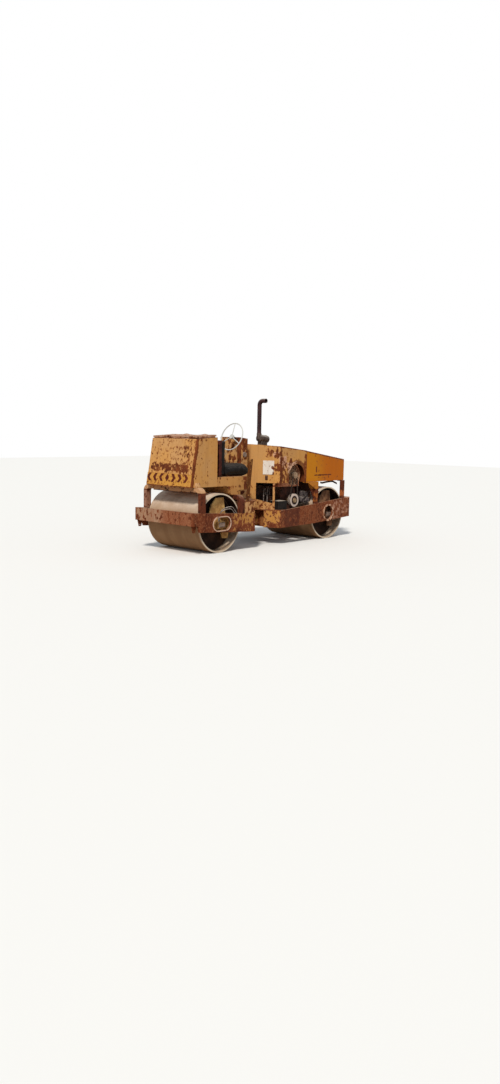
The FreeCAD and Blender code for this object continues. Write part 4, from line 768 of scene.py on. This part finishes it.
def smooth(piece):
    select_only(piece)
    bpy.ops.object.shade_smooth_by_angle(angle=math.radians(35))


def ease(piece, width, segments=2):
    """Every edge rounded, as a file or a press leaves it."""
    edit(piece)
    bpy.ops.mesh.bevel(offset=width, segments=segments, affect="EDGES")
    settle(piece)
    smooth(piece)


def step_face(piece, direction, margin, rise):
    """The face that looks that way, inset by a margin and raised or sunk."""
    edit(piece)
    pick_facing(piece, direction)
    bpy.ops.mesh.inset(thickness=margin, depth=0)
    draw_out(direction * rise)
    settle(piece)


def resize_end(piece, direction, value, centre):
    """The end that looks that way, resized about a point."""
    edit(piece)
    pick_facing(piece, direction)
    bpy.ops.transform.resize(value=value, center_override=centre)
    settle(piece)


def pull_waves(piece, axis, waves, width, size):
    """Waves bent into a sheet one at a time: where along the axis, and how far up."""
    for reach, rise in waves:
        pick(piece, "VERT", lambda vertex: abs(vertex.co[axis] - reach) < width)
        bpy.ops.transform.translate(value=(0, 0, rise), use_proportional_edit=True, proportional_size=size)


def complete(piece, finish, body):
    wear(piece, finish)
    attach(piece, body)
    return piece


def joined(name, pieces):
    select_only(pieces[0])
    for piece in pieces:
        piece.select_set(True)
    bpy.ops.object.join()
    pieces[0].name = name
    pieces[0].data.name = name
    return pieces[0]


def copy_of(piece, moved):
    """A copy with a mesh of its own, moved by a matrix."""
    twin = piece.copy()
    twin.data = piece.data.copy()
    twin.data.transform(moved)
    link(twin)
    return twin


def copies(template, name, places):
    """One modelled piece, copied to many places and joined."""
    pieces = [copy_of(template, at) for at in places]
    bpy.data.objects.remove(template)
    return joined(name, pieces)


def mirrored_places(places):
    """The same places on the machine's other side, not turned inside out."""
    own = Matrix.Diagonal((-1, 1, 1, 1))
    return [OTHER_SIDE @ at @ own for at in places]


print("axle height", round(rear_axle.z, 3), "m")

# %% [markdown]
# ## Warning band
# Across the tank's rear end runs a band of fresher yellow, with three marks that point left,
# a diamond, and three that point right. Each mark is a film of dark red paint: a strip of two
# faces whose middle row is pushed sideways.

# %% Fresh yellow and dark red paint
band_paint = weathered(
    "band_paint", (200, 144, 62), (198, 142, 66), rust=0.36, spots=34, shift=6.1, dust=0.1, grime=0.4,
    worn_edges=0.8)
mark_paint = weathered(
    "mark_paint", (84, 26, 12), (96, 34, 16), rust=0.05, spots=34, shift=2.7, dust=0.1, grime=0.2,
    worn_edges=0)

# %% Band and marks
END_UP = point(TANK_LEAN, 0, 1).normalized()
END_RIGHT = -ACROSS
BAND_Z = 0.952
BAND_H = 0.156
BAND_W = 0.84
MARK_Z = 0.975
FILM = 0.0015
MARK_PITCH = 0.116
MARK_Y = 0.03
MARK_H = 0.102
MARK_STROKE = 0.046
MARK_LEAN = 0.036
DIAMOND_W = MARK_STROKE * 1.5


def on_tank_end(y, z, out):
    origin = point(END_X + TANK_LEAN * z, y, z) + END_RIGHT.cross(END_UP) * out
    return facing(origin, END_RIGHT, END_UP)


band = block("warning_band", on_tank_end(0, BAND_Z, FILM / 2), (BAND_W, BAND_H, FILM))
edit(band)
bpy.ops.mesh.subdivide(number_cuts=5)
settle(band)
complete(band, band_paint, "rear_frame")


def arrow_mark(name, at, lean):
    select_nothing()
    bpy.ops.mesh.primitive_grid_add(
        x_subdivisions=1, y_subdivisions=2, size=1, location=at.translation, rotation=at.to_euler())
    piece = named(name, (MARK_STROKE, MARK_H, 1))
    edit(piece)
    pick(piece, "VERT", lambda vertex: abs((vertex.co - at.translation).dot(END_UP)) < MARK_H / 4)
    bpy.ops.transform.translate(value=END_RIGHT * lean)
    bpy.ops.mesh.select_all(action="SELECT")
    draw_out(out_of(at) * FILM)
    settle(piece)
    return piece


marks = []
for k in range(-3, 4):
    lean = math.copysign(MARK_LEAN, k) if k else 0
    at = on_tank_end(MARK_Y - MARK_PITCH * k + lean / 2, MARK_Z, FILM)
    if k:
        marks.append(arrow_mark("mark", at, lean))
    else:
        diamond = disc("diamond", at, 0.5, FILM, 4)
        edit(diamond)
        bpy.ops.mesh.subdivide(number_cuts=1)
        settle(diamond)
        marks.append(diamond)
        for vertex in diamond.data.vertices:
            gap = vertex.co - at.translation
            side, rise, depth = gap.dot(END_RIGHT), gap.dot(END_UP), gap.dot(out_of(at))
            vertex.co = at @ point(side * DIAMOND_W, rise * MARK_H, depth + FILM / 2)
complete(joined("warning_marks", marks), mark_paint, "rear_frame")
print("band and", len(marks), "marks")

# %% [markdown]
# ## Blank plate and latch
# The slanting hood panel carries a blank white plate, pressed with a rolled border round a
# flat field, and below it a small latch: a box with a raised handle.

# %% Plate and latch
plate_white = weathered(
    "plate_white", (238, 232, 224), (226, 216, 204), rust=0.2, spots=24, shift=3.3, dust=0.1, grime=0.25,
    worn_edges=0.5, places=[(0.26, (-0.13, -0.02, 1.06), (-0.085, 0.02, 1.115), 0.012, 0, VEE_TURN)])
hood_low, hood_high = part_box("hood_side_right")
VEE_CORNER = point(hood_low.x, hood_low.y, 0)
VEE_ALONG = point(-0.5, math.sqrt(0.75), 0)
PLATE_T = 0.003
LATCH_T = 0.01


def on_vee(s, z, out):
    normal = (-VEE_ALONG).cross(UP)
    return facing(VEE_CORNER + VEE_ALONG * s + UP * z + normal * out, -VEE_ALONG, UP)


at = on_vee(0.17, 1.0875, PLATE_T / 2)
plate = block("blank_plate", at, (0.16, 0.195, PLATE_T))
step_face(plate, out_of(at), 0.008, -0.001)
ease(plate, 0.0005, 1)
complete(plate, plate_white, "front_frame")

at = on_vee(0.196, 0.9475, LATCH_T / 2)
latch = block("hood_latch", at, (0.038, 0.06, LATCH_T))
step_face(latch, out_of(at), 0.01, 0.012)
ease(latch, 0.002)
complete(latch, iron, "front_frame")
print("plate", [round(d, 3) for d in plate.dimensions])

# %% [markdown]
# ## Rings, covers and bolts
# A flanged ring stands round each port in the front plates: a disc whose two faces are inset
# and bridged through. A cover closes each drive motor. A bolt is a six-sided head with the
# shank's end standing out of it, modelled once and copied.

# %% Steel of rings and bolts
ring_rust = weathered(
    "ring_rust", (206, 166, 136), (222, 190, 164), rust=0.44, spots=30, shift=1.4, dust=0.4, tones=RED_RUST)
cover_grey = grimy("cover_grey", (112, 92, 82), (150, 130, 118), (190, 172, 156), shift=3)
bolt_rust = weathered(
    "bolt_rust", (120, 74, 46), (140, 96, 66), rust=0.9, spots=60, shift=9.2, dust=0.5, tones=RED_RUST)

# %% Port rings
plate_low, plate_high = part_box("front_side_plate_right")
PORT = point(front_axle.x - 0.053, plate_low.y, front_axle.z + 0.008)
RING_OUT = 0.128
RING_WIDTH = 0.024
RING_T = 0.01


def on_right_side(spot, out=0.0):
    return facing(spot - ACROSS * out, FORWARD, UP)


def flat_ring(name, at, radius, width, depth):
    ring = disc(name, at, radius, depth)
    edit(ring)
    pick(ring, "FACE", lambda face: len(face.verts) > 4)
    bpy.ops.mesh.inset(thickness=width, depth=0, use_individual=True)
    bpy.ops.mesh.bridge_edge_loops()
    settle(ring)
    ease(ring, depth / 6, 1)
    return ring


ring_at = on_right_side(PORT, RING_T / 2)
rings = [flat_ring("ring", at, RING_OUT, RING_WIDTH, RING_T) for at in [ring_at] + mirrored_places([ring_at])]
complete(joined("port_rings", rings), ring_rust, "front_frame")

# %% Motor covers
COVER_Y = -0.5
COVER_OFF = 0.022
COVER_T = 0.008


def motor_cover(axle):
    at = on_right_side(point(axle.x + COVER_OFF, COVER_Y, axle.z - COVER_OFF), COVER_T / 2)
    cover = block("cover", at, (0.118, 0.066, COVER_T))
    step_face(cover, out_of(at), 0.012, 0.006)
    ease(cover, 0.0015, 1)
    return cover


def with_twin(piece):
    """The piece and its mirror image on the machine's left side."""
    twin = copy_of(piece, OTHER_SIDE)
    edit(twin)
    settle(twin)
    return [piece, twin]


for name, axle, body in (("rear", rear_axle, "rear_frame"), ("front", front_axle, "front_frame")):
    complete(joined(name + "_motor_covers", with_twin(motor_cover(axle))), cover_grey, body)


# %% Bolts
HUB_Y = -0.42
HUB_R = 0.077


def hex_bolt(size):
    bolt = disc("bolt", Matrix.Translation((0, 0, size * 0.3)), size, size * 0.6, 6)
    step_face(bolt, UP, size * 0.42, size * 0.25)
    ease(bolt, size * 0.06, 1)
    return bolt


def round_of(centre, radius, start, out=0.0):
    """Eight places on a circle, the first at an angle above the level."""
    angles = [start + math.pi * i / 4 for i in range(8)]
    return [on_right_side(centre + point(math.cos(a), 0, math.sin(a)) * radius, out) for a in angles]


def row_of(x, y, low, high, count=3):
    return [on_right_side(point(x, y, low + (high - low) * i / (count - 1))) for i in range(count)]


def both_sides(places):
    return places + mirrored_places(places)


def hub_bolts(axle):
    return round_of(point(axle.x, HUB_Y, axle.z), HUB_R, 0.39)


rear_low, rear_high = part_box("rear_side_plate_right")
side_y = rear_low.y + 0.008
REAR_BOLTS = both_sides(
    hub_bolts(rear_axle) + row_of(rear_high.x - 0.0125, side_y, 0.275, 0.445)
    + row_of(rear_low.x + 0.045, side_y, 0.42, 0.53, 2))
FRONT_BOLTS = both_sides(
    round_of(PORT, RING_OUT - RING_WIDTH / 2, 0.2, RING_T) + hub_bolts(front_axle)
    + row_of(plate_high.x - 0.035, plate_low.y, 0.37, 0.55))
HOOD_SCREWS = both_sides(
    row_of(hood_low.x + 0.025, hood_low.y, 0.93, 1.33) + row_of(hood_high.x - 0.025, hood_low.y, 0.93, 1.26))
for name, body, size, places in (
        ("rear_frame_bolts", "rear_frame", 0.013, REAR_BOLTS),
        ("front_frame_bolts", "front_frame", 0.012, FRONT_BOLTS),
        ("hood_screws", "front_frame", 0.008, HOOD_SCREWS)):
    complete(copies(hex_bolt(size), name, places), bolt_rust, body)
print("bolts", len(REAR_BOLTS), len(FRONT_BOLTS), len(HOOD_SCREWS))

# %% [markdown]
# ## Exhaust
# The silencer is a can in two straps on a saddle, parallel to the hood's roof. The can's ends
# are inset and pushed out, as pressed ends are. The pipe stands on its aft end: a cylinder
# whose top face is spun through the elbow, drawn out, and hollowed at its mouth.

# %% Silencer
CAN_R = 0.053
CAN_LEN = 0.184
CAN_X = 0.25
CAN_UP = 0.118
PIPE_X = 0.1655
PIPE_R = 0.031
ROOF_ALONG = point(1, 0, -HOOD_FALL).normalized()
STRAP_OFF = 0.052
SOCKET_H = 0.09
ROOF_Z = 1.388


def hood_roof(x):
    return ROOF_Z - HOOD_FALL * (x - HOOD_CORNER[0])


def can_place(x):
    return facing((x, 0, hood_roof(x) + CAN_UP), ACROSS, ACROSS.cross(ROOF_ALONG) * -1)


can = disc("can", can_place(CAN_X), CAN_R, CAN_LEN)
for end in (ROOF_ALONG, -ROOF_ALONG):
    step_face(can, end, 0.01, 0.006)
ease(can, 0.002, 1)
parts = [can]
for offset in (-STRAP_OFF, STRAP_OFF):
    parts.append(flat_ring("strap", can_place(CAN_X + offset), CAN_R + 0.004, 0.005, 0.016))
saddle_at = can_place(CAN_X) @ Matrix.Translation((0, -CAN_UP / 2, 0))
saddle = block("saddle", saddle_at, (0.07, CAN_UP, 0.128))
resize_end(saddle, -UP, (1, 1.25, 1), (CAN_X, 0, hood_roof(CAN_X)))
ease(saddle, 0.003, 1)
parts.append(saddle)
foot_z = hood_roof(PIPE_X) + CAN_UP - 0.02
socket_at = Matrix.Translation((PIPE_X, 0, foot_z + SOCKET_H / 2))
parts.append(disc("socket", socket_at, PIPE_R + 0.004, SOCKET_H, 32))
silencer = complete(joined("silencer", parts), silencer_skin, "front_frame")
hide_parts("exhaust_silencer")

# %% Pipe with its elbow
ELBOW_R = 0.06
PIPE_TOP = 2.054
ELBOW_Z = PIPE_TOP - PIPE_R - ELBOW_R
OUTLET = 0.064
tall = ELBOW_Z - foot_z
pipe = disc("tail_pipe", Matrix.Translation((PIPE_X, 0, foot_z + tall / 2)), PIPE_R, tall, 32)
edit(pipe)
pick_facing(pipe, UP)
bpy.ops.mesh.spin(steps=8, angle=math.radians(90), center=(PIPE_X, -ELBOW_R, ELBOW_Z), axis=(-1, 0, 0))
draw_out((0, -OUTLET, 0))
bpy.ops.mesh.inset(thickness=0.003, depth=0)
draw_out((0, OUTLET, 0))
bpy.ops.mesh.select_all(action="SELECT")
bpy.ops.mesh.remove_doubles(threshold=0.0001)
settle(pipe)
smooth(pipe)
complete(pipe, burnt, "front_frame")
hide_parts("exhaust_pipe")
print("pipe", [round(d, 3) for d in pipe.dimensions])

# %% [markdown]
# ## Engine bay
# Wire rings on flat bars guard the blower's mouth. A dark sheet keeps the front drum's mud
# off the engine, and its dark colour is painted shade for the deep shade in the bay there.
# A gusset stiffens each post, and the tank's torn flange has bent down.

# %% Blower screen
SCREEN_Y = -0.4315
SCREEN_R = 0.15
BAR_IN = 0.058
WIRE = 0.005
screen_at = on_right_side(point(ARCH[0], SCREEN_Y, ARCH[1]), WIRE / 2)
screen = [flat_ring("wire", screen_at, radius, WIRE, WIRE) for radius in (SCREEN_R, 0.128, 0.106, 0.084, 0.062)]
for i in range(12):
    spoke = screen_at @ Matrix.Rotation(math.radians(30 * i + 15), 4, "Z")
    bar_at = spoke @ Matrix.Translation((0, (SCREEN_R + BAR_IN) / 2, 0))
    screen.append(block("bar", bar_at, (0.006, SCREEN_R - BAR_IN, WIRE * 0.8)))
complete(joined("blower_screen", screen), screen_wire, "front_frame")

# %% Dark sheet behind the drum, its colour painted shade
SHEET_X = 0.8165
SHEET_LOW = 0.64
tank_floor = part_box("front_tank")[0].z
sheet_at = facing((SHEET_X, 0, (tank_floor + SHEET_LOW) / 2), ACROSS, UP)
shade_sheet = block("shade_sheet", sheet_at, (0.9, tank_floor - SHEET_LOW, 0.003))
edit(shade_sheet)
pick_facing(shade_sheet, -UP)
draw_out((-0.012, 0, -0.012))
settle(shade_sheet)
# The sheet's dark iron stands for the bay's deep shade: painted shade.
complete(shade_sheet, iron, "front_frame")

# %% Gussets and torn flange
GUSSET = point(0.752, HOOD_CORNER[1], 0.755)
GUSSET_W = 0.15
GUSSET_T = 0.008
TORN_WAVES = ((1.14, -0.012), (1.34, 0.006), (1.495, -0.034))


def post_gusset():
    gusset = block("gusset", on_right_side(GUSSET, GUSSET_T / 2), (GUSSET_W, 0.228, GUSSET_T))
    resize_end(gusset, -UP, (0.08, 1, 1), GUSSET + FORWARD * GUSSET_W / 2)
    ease(gusset, 0.0015, 1)
    return gusset


complete(joined("post_gussets", with_twin(post_gusset())), painted_post, "front_frame")

torn = block("torn_flange", on_right_side(point(1.285, -0.44, 0.85)), (0.42, 0.026, 0.005))
edit(torn)
bpy.ops.mesh.subdivide(number_cuts=7)
pull_waves(torn, 0, TORN_WAVES, 0.03, 0.1)
settle(torn)
complete(torn, iron, "front_frame")
print("bay pieces done")

# %% [markdown]
# ## Gauge
# On the console's side sits a round gauge, its face sunk inside a pressed bezel.

# %% Gauge
GAUGE = point(-0.345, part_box("console")[0].y, 1.268)
GAUGE_T = 0.012
at = on_right_side(GAUGE, GAUGE_T / 2)
gauge = disc("console_gauge", at, 0.036, GAUGE_T, 32)
step_face(gauge, out_of(at), 0.008, -0.004)
ease(gauge, 0.001, 1)
complete(gauge, cover_grey, "rear_frame")

# %% [markdown]
# ## Tank feet
# The tank stands on the knee posts, held by a bracket at each side: a block whose upper face
# is narrowed in edit mode, so that it hugs the tank's wall.

# %% Tank feet
FOOT_H = 0.06
FOOT_T = 0.032
foot_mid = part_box("rear_tank")[0] + point(0.11, 0, FOOT_H / 2)


def tank_foot():
    foot = block("foot", on_right_side(foot_mid, FOOT_T / 2), (0.1, FOOT_H, FOOT_T))
    resize_end(foot, UP, (0.8, 0.3, 1), foot_mid)
    ease(foot, 0.004)
    return foot


complete(joined("tank_feet", with_twin(tank_foot())), step_yellow, "rear_frame")

# %% [markdown]
# ## The tank's lid
# Years of boots have bent the lid's rolled edges into waves. It is a block cut into squares,
# its top inset and sunk inside the rolled edge, its waves pulled one at a time in edit mode.

# %% Lid cover
ROOF_AFT = 1.48
ROOF_FORE = 1.504
ROOF_LENGTH = 0.37
LID_RISE = 0.014
LID_WAVES = ((-0.37, 0.004), (-0.21, 0.012), (-0.03, -0.003), (0.16, 0.013), (0.35, 0.002))
lid_low, lid_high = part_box("rear_tank_lid")
lid_slope = point(1, 0, (ROOF_FORE - ROOF_AFT) / ROOF_LENGTH) * (lid_high.x - lid_low.x)
lid_at = facing((lid_low + lid_high) / 2 + UP * LID_RISE, lid_slope, ACROSS)
cover = block("lid_cover", lid_at, (lid_slope.length + 0.02, 2 * lid_high.y + 0.016, 0.02))
edit(cover)
bpy.ops.mesh.subdivide(number_cuts=11)
pick_facing(cover, out_of(lid_at))
bpy.ops.mesh.inset(thickness=0.02, depth=-0.007)
pull_waves(cover, 1, LID_WAVES, 0.045, 0.09)
settle(cover)
smooth(cover)
complete(cover, lid_paint, "rear_frame")
print("lid", [round(d, 3) for d in cover.dimensions])

# %% [markdown]
# ## The seat back's shell
# A pressed steel shell stands behind the back cushion, dark red once, with its face sunk inside
# a rolled border. It is a block whose face is inset and pushed in.

# %% Seat back's shell
back_low, back_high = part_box("seat_backrest")
SHELL_T = 0.052
shell_size = (back_high.y - back_low.y - 0.01, back_high.z - back_low.z + 0.008, SHELL_T)
shell_mid = point(back_low.x + SHELL_T / 2, (back_low.y + back_high.y) / 2, back_low.z + shell_size[1] / 2)
shell = block("seat_back_shell", facing(shell_mid, ACROSS, UP), shell_size)
step_face(shell, FORWARD, 0.012, -0.01)
ease(shell, 0.006)
shell_red = grimy("shell_red", (46, 16, 12), (92, 38, 28), (150, 104, 84), shift=8)
complete(shell, shell_red, "rear_frame")

# %% [markdown]
# ## Seat pads
# A seat pad is a sewn cover over foam: it bulges between its corners. Each pad starts as a
# slightly smaller copy of the room that CAD keeps for it, is remeshed evenly, and is blown
# up as cloth. How far a point may move is capped, so that it stays in its room.

# %% Seat pads, blown up as cloth
SHRINK = 0.012
SWELL = 0.016
VOXEL = 0.006


def padded_copy(name, node, grow, move):
    """The pad's copy, shrunk all round, then grown and moved as the photograph shows it."""
    low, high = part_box(node)
    middle = (low + high) / 2
    factors = [1 + (more - 2 * SHRINK) / length for more, length in zip(grow, high - low)]
    moved = Matrix.Translation(middle + Vector(move))
    pad = copy_of(nodes[node], moved @ Matrix.Diagonal((*factors, 1)) @ Matrix.Translation(-middle))
    pad.parent = None
    pad.name = name
    edit(pad)
    bpy.ops.mesh.remove_doubles(threshold=0.0001)
    bpy.ops.object.mode_set(mode="OBJECT")
    pad.data.remesh_voxel_size = VOXEL
    bpy.ops.object.voxel_remesh()
    before = [v.co.copy() for v in pad.data.vertices]
    cloth = pad.modifiers.new("swell", "CLOTH").settings
    cloth.use_pressure = True
    cloth.uniform_pressure_force = 4
    cloth.effector_weights.gravity = 0
    for moment in range(1, 21):
        bpy.context.scene.frame_set(moment)
    bpy.ops.object.modifier_apply(modifier="swell")
    bpy.context.scene.frame_set(1)
    for vertex, start in zip(pad.data.vertices, before):
        step = vertex.co - start
        if step.length > SWELL:
            vertex.co = start + step * (SWELL / step.length)
    finer = pad.modifiers.new("smooth", "SUBSURF")
    finer.levels = finer.render_levels = 1
    bpy.ops.object.modifier_apply(modifier="smooth")
    bpy.ops.object.shade_smooth()
    complete(pad, vinyl, "rear_frame")
    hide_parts(node)
    print(name, len(pad.data.vertices), "points")


padded_copy("cushion_cover", "seat_cushion", (0.045, 0, 0.01), (0.022, 0, 0.004))
padded_copy("backrest_cover", "seat_backrest", (-0.005, 0, 0.02), (0.05, 0, 0.012))
